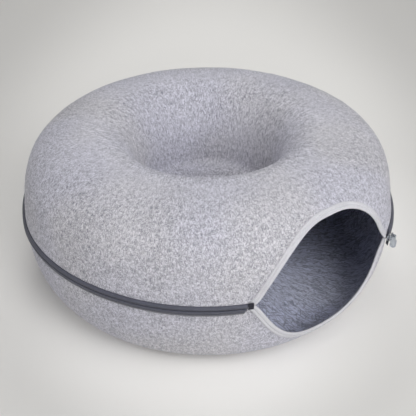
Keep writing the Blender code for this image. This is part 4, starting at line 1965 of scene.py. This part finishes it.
@dataclass
class SliderAndPull:
    """The zip's slider and its pull. Lengths are along the radius (X), along the zip (Y) and up (Z)."""

    shop: Workshop
    azimuth: float = math.radians(-26.65)
    radius: float = 0.2513
    body_depth: float = 0.0046
    body_back: float = -0.0085
    body_front: float = 0.0045
    body_height: float = 0.0072
    plate: float = 0.0010
    rim_depth: float = 0.0009
    sink: float = 0.0002
    bridge_reach: float = 0.0032
    bridge_length: float = 0.0072
    bridge_height: float = 0.0022
    bar: float = 0.0014
    clearance: float = 0.0003
    pull_thickness: float = 0.0018
    pull_rim: float = 0.0011
    pull_half_width: float = 0.0038
    pull_length: float = 0.0192
    window_height: float = 0.0030
    panel_depth: float = 0.00035
    shoulders: tuple[float, float] = (-0.0042, -0.0056)

    def place(self, name: str, mesh: bpy.types.Mesh, outwards: float, bevel: float) -> bpy.types.Object:
        """Turns a modelled part into a piece at the slider's place.

        Args:
            name: the piece's name.
            mesh: the part, in the slider's own directions.
            outwards: distance of the part's origin from the slider's middle.
            bevel: width of its rounded edges.

        Returns:
            The piece.
        """
        way = outward_of(self.azimuth)
        middle = way * self.radius + (0.0, 0.0, self.shop.form.zip_height)
        spot = Vector(self.shop.form.settle(middle) + way * outwards)
        turn = Matrix.Translation(spot) @ Matrix.Rotation(self.azimuth, 4, "Z")
        with editing(mesh) as work:
            bmesh.ops.recalc_face_normals(work, faces=work.faces)
            folds = [edge for edge in work.edges if edge.is_manifold]
            sharp = [edge for edge in folds if edge.calc_face_angle(0.0) > math.radians(32)]
            bmesh.ops.bevel(
                work, geom=sharp, offset=bevel, segments=3, profile=0.5, affect="EDGES", clamp_overlap=True
            )
            bmesh.ops.transform(work, matrix=turn, verts=work.verts)
        mesh.shade_smooth()
        mesh.set_sharp_from_angle(angle=math.radians(50))
        return link_piece(name, mesh, self.shop.plating)

    def body_outline(self) -> Outline:
        """The plates' outline along and up.

        Returns:
            Its corners: broad shoulders at the open end, narrow at the closed one.
        """
        back, front = self.body_back, self.body_front
        broad, narrow = self.body_height / 2, self.body_height / 2 - 0.0008
        upper = [(back + 0.0012, 0.0), (back + 0.0004, 0.0008), (back, broad - 0.0014)]
        upper += [(back + 0.0010, broad), (-0.0030, broad), (-0.0012, narrow)]
        upper += [(front - 0.0009, narrow), (front, narrow - 0.0009)]
        return upper + [(along, -up) for along, up in reversed(upper[1:])]

    def build_slider(self) -> bpy.types.Object:
        """Builds the slider: two plates, their turned rims, the post between them and the bridge.

        Returns:
            The slider.
        """
        half, back, front = self.body_depth / 2, self.body_back, self.body_front
        outline = self.body_outline()[::-1]
        inner_reach = half - self.plate - self.rim_depth
        mesh = bpy.data.meshes.new("zip_slider")
        with editing(mesh) as work:
            add_plate(work, outline, half - self.plate, half, Lie.FACING_OUT)
            add_plate(work, outline, -half, -half + self.plate, Lie.FACING_OUT)
            edge = self.body_height / 2 - 0.0001
            inner = edge - self.rim_depth
            rim = [(front - 0.0012, inner - 0.0007), (back + 0.0012, inner), (back + 0.0016, edge)]
            rim += [(-0.0028, edge), (-0.0012, edge - 0.0008), (front - 0.0012, edge - 0.0008)]
            for turned in (rim, [(along, -up) for along, up in reversed(rim)]):
                for low, high in ((inner_reach, half - self.sink), (-half + self.sink, -inner_reach)):
                    add_plate(work, turned, low, high, Lie.FACING_OUT)
            post = [(back + 0.0044, 0.0), (back + 0.0030, 0.0011)]
            post += [(back + 0.0016, 0.0), (back + 0.0030, -0.0011)]
            add_plate(work, post, -half + self.sink, half - self.sink, Lie.FACING_OUT)
            self.add_bridge(work, half)
        piece = self.place("zip_slider_metal", mesh, 0.0, 0.00022)
        return self.shop.hand_over(piece, "zip_metal", "zip_slider")

    def arch_line(self, face: float, inset: float, rounding: float) -> Outline:
        """The bridge's outline from foot to foot.

        Args:
            face: where the slider's outer plate ends.
            inset: how far inside the bridge's outer face.
            rounding: radius of its corners.

        Returns:
            Places along the zip and outwards.
        """
        half, top = self.bridge_length / 2 - inset, face + self.bridge_reach - inset
        side = [(half, face - 0.0003)]
        side += [
            (half - rounding * (1 - math.cos(turn)), top - rounding * (1 - math.sin(turn)))
            for turn in np.linspace(0.0, QUARTER_TURN, 6)
        ]
        return side + mirrored(side)

    def add_bridge(self, work: bmesh.types.BMesh, face: float) -> None:
        """Adds the bridge that holds the pull: an arch of strip metal along the slider.

        Args:
            work: what it is added to.
            face: where the slider's outer plate ends.
        """
        outer, inner = self.arch_line(face, 0.0, 0.0013), self.arch_line(face, self.bar, 0.0006)
        level = self.bridge_height / 2
        lines = [
            [work.verts.new((out, along, height)) for along, out in line]
            for line, height in ((outer, -level), (outer, level), (inner, level), (inner, -level))
        ]
        for first, second in zip(lines, lines[1:] + lines[:1]):
            for index in range(len(outer) - 1):
                work.faces.new((first[index], first[index + 1], second[index + 1], second[index]))
        for index in (0, -1):
            work.faces.new([line[index] for line in lines])

    def pull_outline(self) -> Outline:
        """The pull's outline outwards and up.

        Returns:
            Its corners in order: narrow loop, shoulders, round end.
        """
        rim, half = self.pull_rim, self.pull_half_width
        neck = self.bar / 2 + self.clearance + rim
        top = self.bridge_height / 2 + self.clearance + rim
        end = top - self.pull_length + half
        right = [
            (neck - rim + rim * math.sin(turn), top - rim + rim * math.cos(turn))
            for turn in np.linspace(0.0, QUARTER_TURN, 5)
        ]
        right += [(neck, self.shoulders[0]), (half - 0.0003, self.shoulders[1] + 0.0004)]
        right += [(half, self.shoulders[1] - 0.0004)]
        right += [
            (half * math.cos(turn), end - half * math.sin(turn)) for turn in np.linspace(0.0, QUARTER_TURN, 9)
        ]
        return right + mirrored(right[:-1])[:-1]

    def window_outline(self) -> Outline:
        """The outline of the window that the bridge's bar goes through."""
        out, top = self.bar / 2 + self.clearance, self.bridge_height / 2 + self.clearance
        return [(-out, top), (out, top), (out, top - self.window_height), (-out, top - self.window_height)]

    def panel_outline(self) -> Outline:
        """The outline of the sunk panel on the pull's faces."""
        half = self.pull_half_width - self.pull_rim
        top = self.bridge_height / 2 + self.clearance + self.pull_rim
        base = top - self.pull_length + self.pull_half_width
        turns = np.linspace(0.0, math.pi, 9)
        panel = [(half * math.cos(turn), base - half * math.sin(turn)) for turn in turns]
        shoulder = self.shoulders[1]
        return panel + [(-half, shoulder - 0.0009), (0.0, shoulder - 0.0002), (half, shoulder - 0.0009)]

    def build_pull(self) -> bpy.types.Object:
        """Builds the pull: a plate with a loop for the bridge's bar and a sunk panel on each face.

        Returns:
            The pull.
        """
        half = self.pull_thickness / 2
        plate = bpy.data.meshes.new("pull_plate")
        with editing(plate) as work:
            add_plate(work, self.pull_outline(), -half, half, Lie.FACING_ALONG)
            bmesh.ops.recalc_face_normals(work, faces=work.faces)
        panel = self.panel_outline()
        cutters = [
            (self.window_outline(), -2 * half, 2 * half),
            (panel, half - self.panel_depth, 2 * half),
            (panel, -2 * half, -half + self.panel_depth),
        ]
        bar = self.body_depth / 2 + self.bridge_reach - self.bar / 2
        piece = self.place("zip_pull_metal", cut_plates(plate, cutters), bar, 0.00020)
        return self.shop.hand_over(piece, "zip_metal", "zip_pull")


# ---------------------------------------------------------------------------------------------------------
# Studio
# ---------------------------------------------------------------------------------------------------------


@dataclass(frozen=True)
class PhotoCamera:
    """The photograph's camera, in metres and in pixels of its square image."""

    image_side: float = 416.0
    focal_length: float = 674.24
    elevation: float = 0.6070
    distance: float = 0.950
    aim: tuple[float, float, float] = (0.0004, 0.0, 0.0710)
    roll: float = -0.0039
    sensor: float = 36.0

    def build(self) -> bpy.types.Object:
        """Builds the camera.

        Returns:
            The camera, set as the scene's own.
        """
        data = bpy.data.cameras.new("camera")
        data.sensor_width = self.sensor
        data.lens = self.focal_length / self.image_side * self.sensor
        data.clip_start = 0.01
        camera = bpy.data.objects.new("camera", data)
        back = Vector((0.0, -math.cos(self.elevation), math.sin(self.elevation)))
        level = Vector((1.0, 0.0, 0.0))
        upright = Vector((0.0, math.sin(self.elevation), math.cos(self.elevation)))
        right = level * math.cos(self.roll) + upright * math.sin(self.roll)
        up = upright * math.cos(self.roll) - level * math.sin(self.roll)
        turn = Matrix((right, up, back)).transposed().to_4x4()
        camera.matrix_world = Matrix.Translation(Vector(self.aim) + back * self.distance) @ turn
        bpy.context.scene.collection.objects.link(camera)
        bpy.context.scene.camera = camera
        return camera


@dataclass(frozen=True)
class SoftLight:
    """A round soft light that faces the cave, placed by its azimuth and elevation in degrees."""

    name: str
    azimuth: float
    elevation: float
    power: float
    size: float = 1.2
    distance: float = 2.0

    def build(self) -> bpy.types.Object:
        """Builds the light.

        Returns:
            The light.
        """
        data = bpy.data.lights.new(self.name, "AREA")
        data.shape = "DISK"
        data.size = self.size
        data.energy = self.power
        light = bpy.data.objects.new(self.name, data)
        azimuth, elevation = math.radians(self.azimuth), math.radians(self.elevation)
        level = math.cos(elevation)
        way = Vector((level * math.cos(azimuth), level * math.sin(azimuth), math.sin(elevation)))
        light.location = Vector((0.0, 0.0, 0.1)) + way * self.distance
        light.rotation_euler = (-way).to_track_quat("-Z", "Y").to_euler()
        bpy.context.scene.collection.objects.link(light)
        return light


@dataclass(frozen=True)
class Studio:
    """Pale floor that curves up into a backdrop all round, with soft lights."""

    effects: ShaderEffects
    floor_radius: float = 1.9
    curve_radius: float = 0.9
    wall_height: float = 0.5
    columns: int = 96
    ambient: Colour = (0.97, 0.98, 1.0)
    ambient_strength: float = 0.01
    lights: tuple[SoftLight, ...] = (
        SoftLight("back", 90.0, 32.0, 10.4),
        SoftLight("left", 210.0, 32.0, 9.4),
        SoftLight("front", 300.0, 32.0, 14.8),
        SoftLight("front high", 300.0, 55.0, 8.8),
        SoftLight("right", 330.0, 32.0, 6.4),
        SoftLight("above", 0.0, 90.0, 6.6, size=1.4),
    )

    def build(self) -> None:
        """Builds the floor, the backdrop, the lights and the ambient light."""
        corner = arc((self.floor_radius, self.curve_radius), self.curve_radius, -QUARTER_TURN, 0.0, 24)
        top = (self.floor_radius + self.curve_radius, self.curve_radius + self.wall_height)
        line = np.concatenate([[[0.0, 0.0], [0.6, 0.0]], corner, [top]])
        azimuths = np.linspace(0.0, FULL_TURN, self.columns + 1)[:-1]
        points = outward_of(azimuths)[:, None] * line[None, :, :1]
        points[..., 2] = line[:, 1]
        maps = np.zeros((self.columns + 1, len(line), 2))
        mesh = grid_mesh("floor", points, maps, wrap_columns=True, flip=True)
        link_piece("floor", mesh, StudioPaint(self.effects).material("pale floor"))
        for light in self.lights:
            light.build()
        world = bpy.data.worlds.new("studio")
        world.use_nodes = True
        background = world.node_tree.nodes["Background"]
        background.inputs["Color"].default_value = (*self.ambient, 1.0)
        background.inputs["Strength"].default_value = self.ambient_strength
        scene = bpy.context.scene
        scene.world = world
        scene.view_settings.view_transform = "Standard"
        scene.view_settings.look = "None"


def main() -> None:
    """Builds the cave and its studio in order."""
    logging.basicConfig(level=logging.INFO, format="%(message)s")
    effects = ShaderEffects()
    PhotoCamera().build()
    satin = {"sheen": 0.25, "gloss": 0.7, "rough": (0.60, 0.45)}
    zip_tape = WovenTape(effects, (0.066, 0.070, 0.106), (0.026, 0.028, 0.045), warp=0.0007, **satin)
    zip_end = WovenTape(effects, (0.022, 0.023, 0.036), (0.012, 0.012, 0.020), warp=0.0007, gloss=0.4)
    shop = Workshop(
        form=CaveForm(),
        repeats=Repeats(),
        felt=HeatherFelt(effects).material("heather felt"),
        loose_fibre=SpunThread(effects, (0.74, 0.73, 0.82), (0.40, 0.40, 0.46)).material("loose fibre"),
        binding=WovenTape(effects, (0.665, 0.662, 0.705), (0.50, 0.497, 0.535)).material("binding tape"),
        tape=zip_tape.material("zip tape"),
        tab=zip_end.material("zip end"),
        nylon=Nylon(effects).material("coil nylon"),
        plating=BrightPlating(effects).material("bright plating"),
        pale_thread=SpunThread(effects, (0.78, 0.775, 0.79), (0.62, 0.615, 0.64)).material("pale thread"),
        dark_thread=SpunThread(effects, (0.060, 0.062, 0.090), (0.025, 0.026, 0.042)).material("dark thread"),
    )
    FeltShell(shop, Side.UPPER, blank=0.66, blank_area=0.342).build()
    FeltShell(shop, Side.LOWER, blank=0.62, blank_area=0.300).build()
    for side in Side:
        EdgeBinding(shop, side).build()
    zip_line = ZipLine(shop)
    zip_line.build_tape(Side.UPPER, zip_line.build_end_tab())
    zip_line.build_tape(Side.LOWER, zip_line.build_tail())
    zip_line.build_coil()
    metal = SliderAndPull(shop)
    metal.build_slider()
    metal.build_pull()
    Studio(effects).build()


if __name__ == "__main__":
    main()
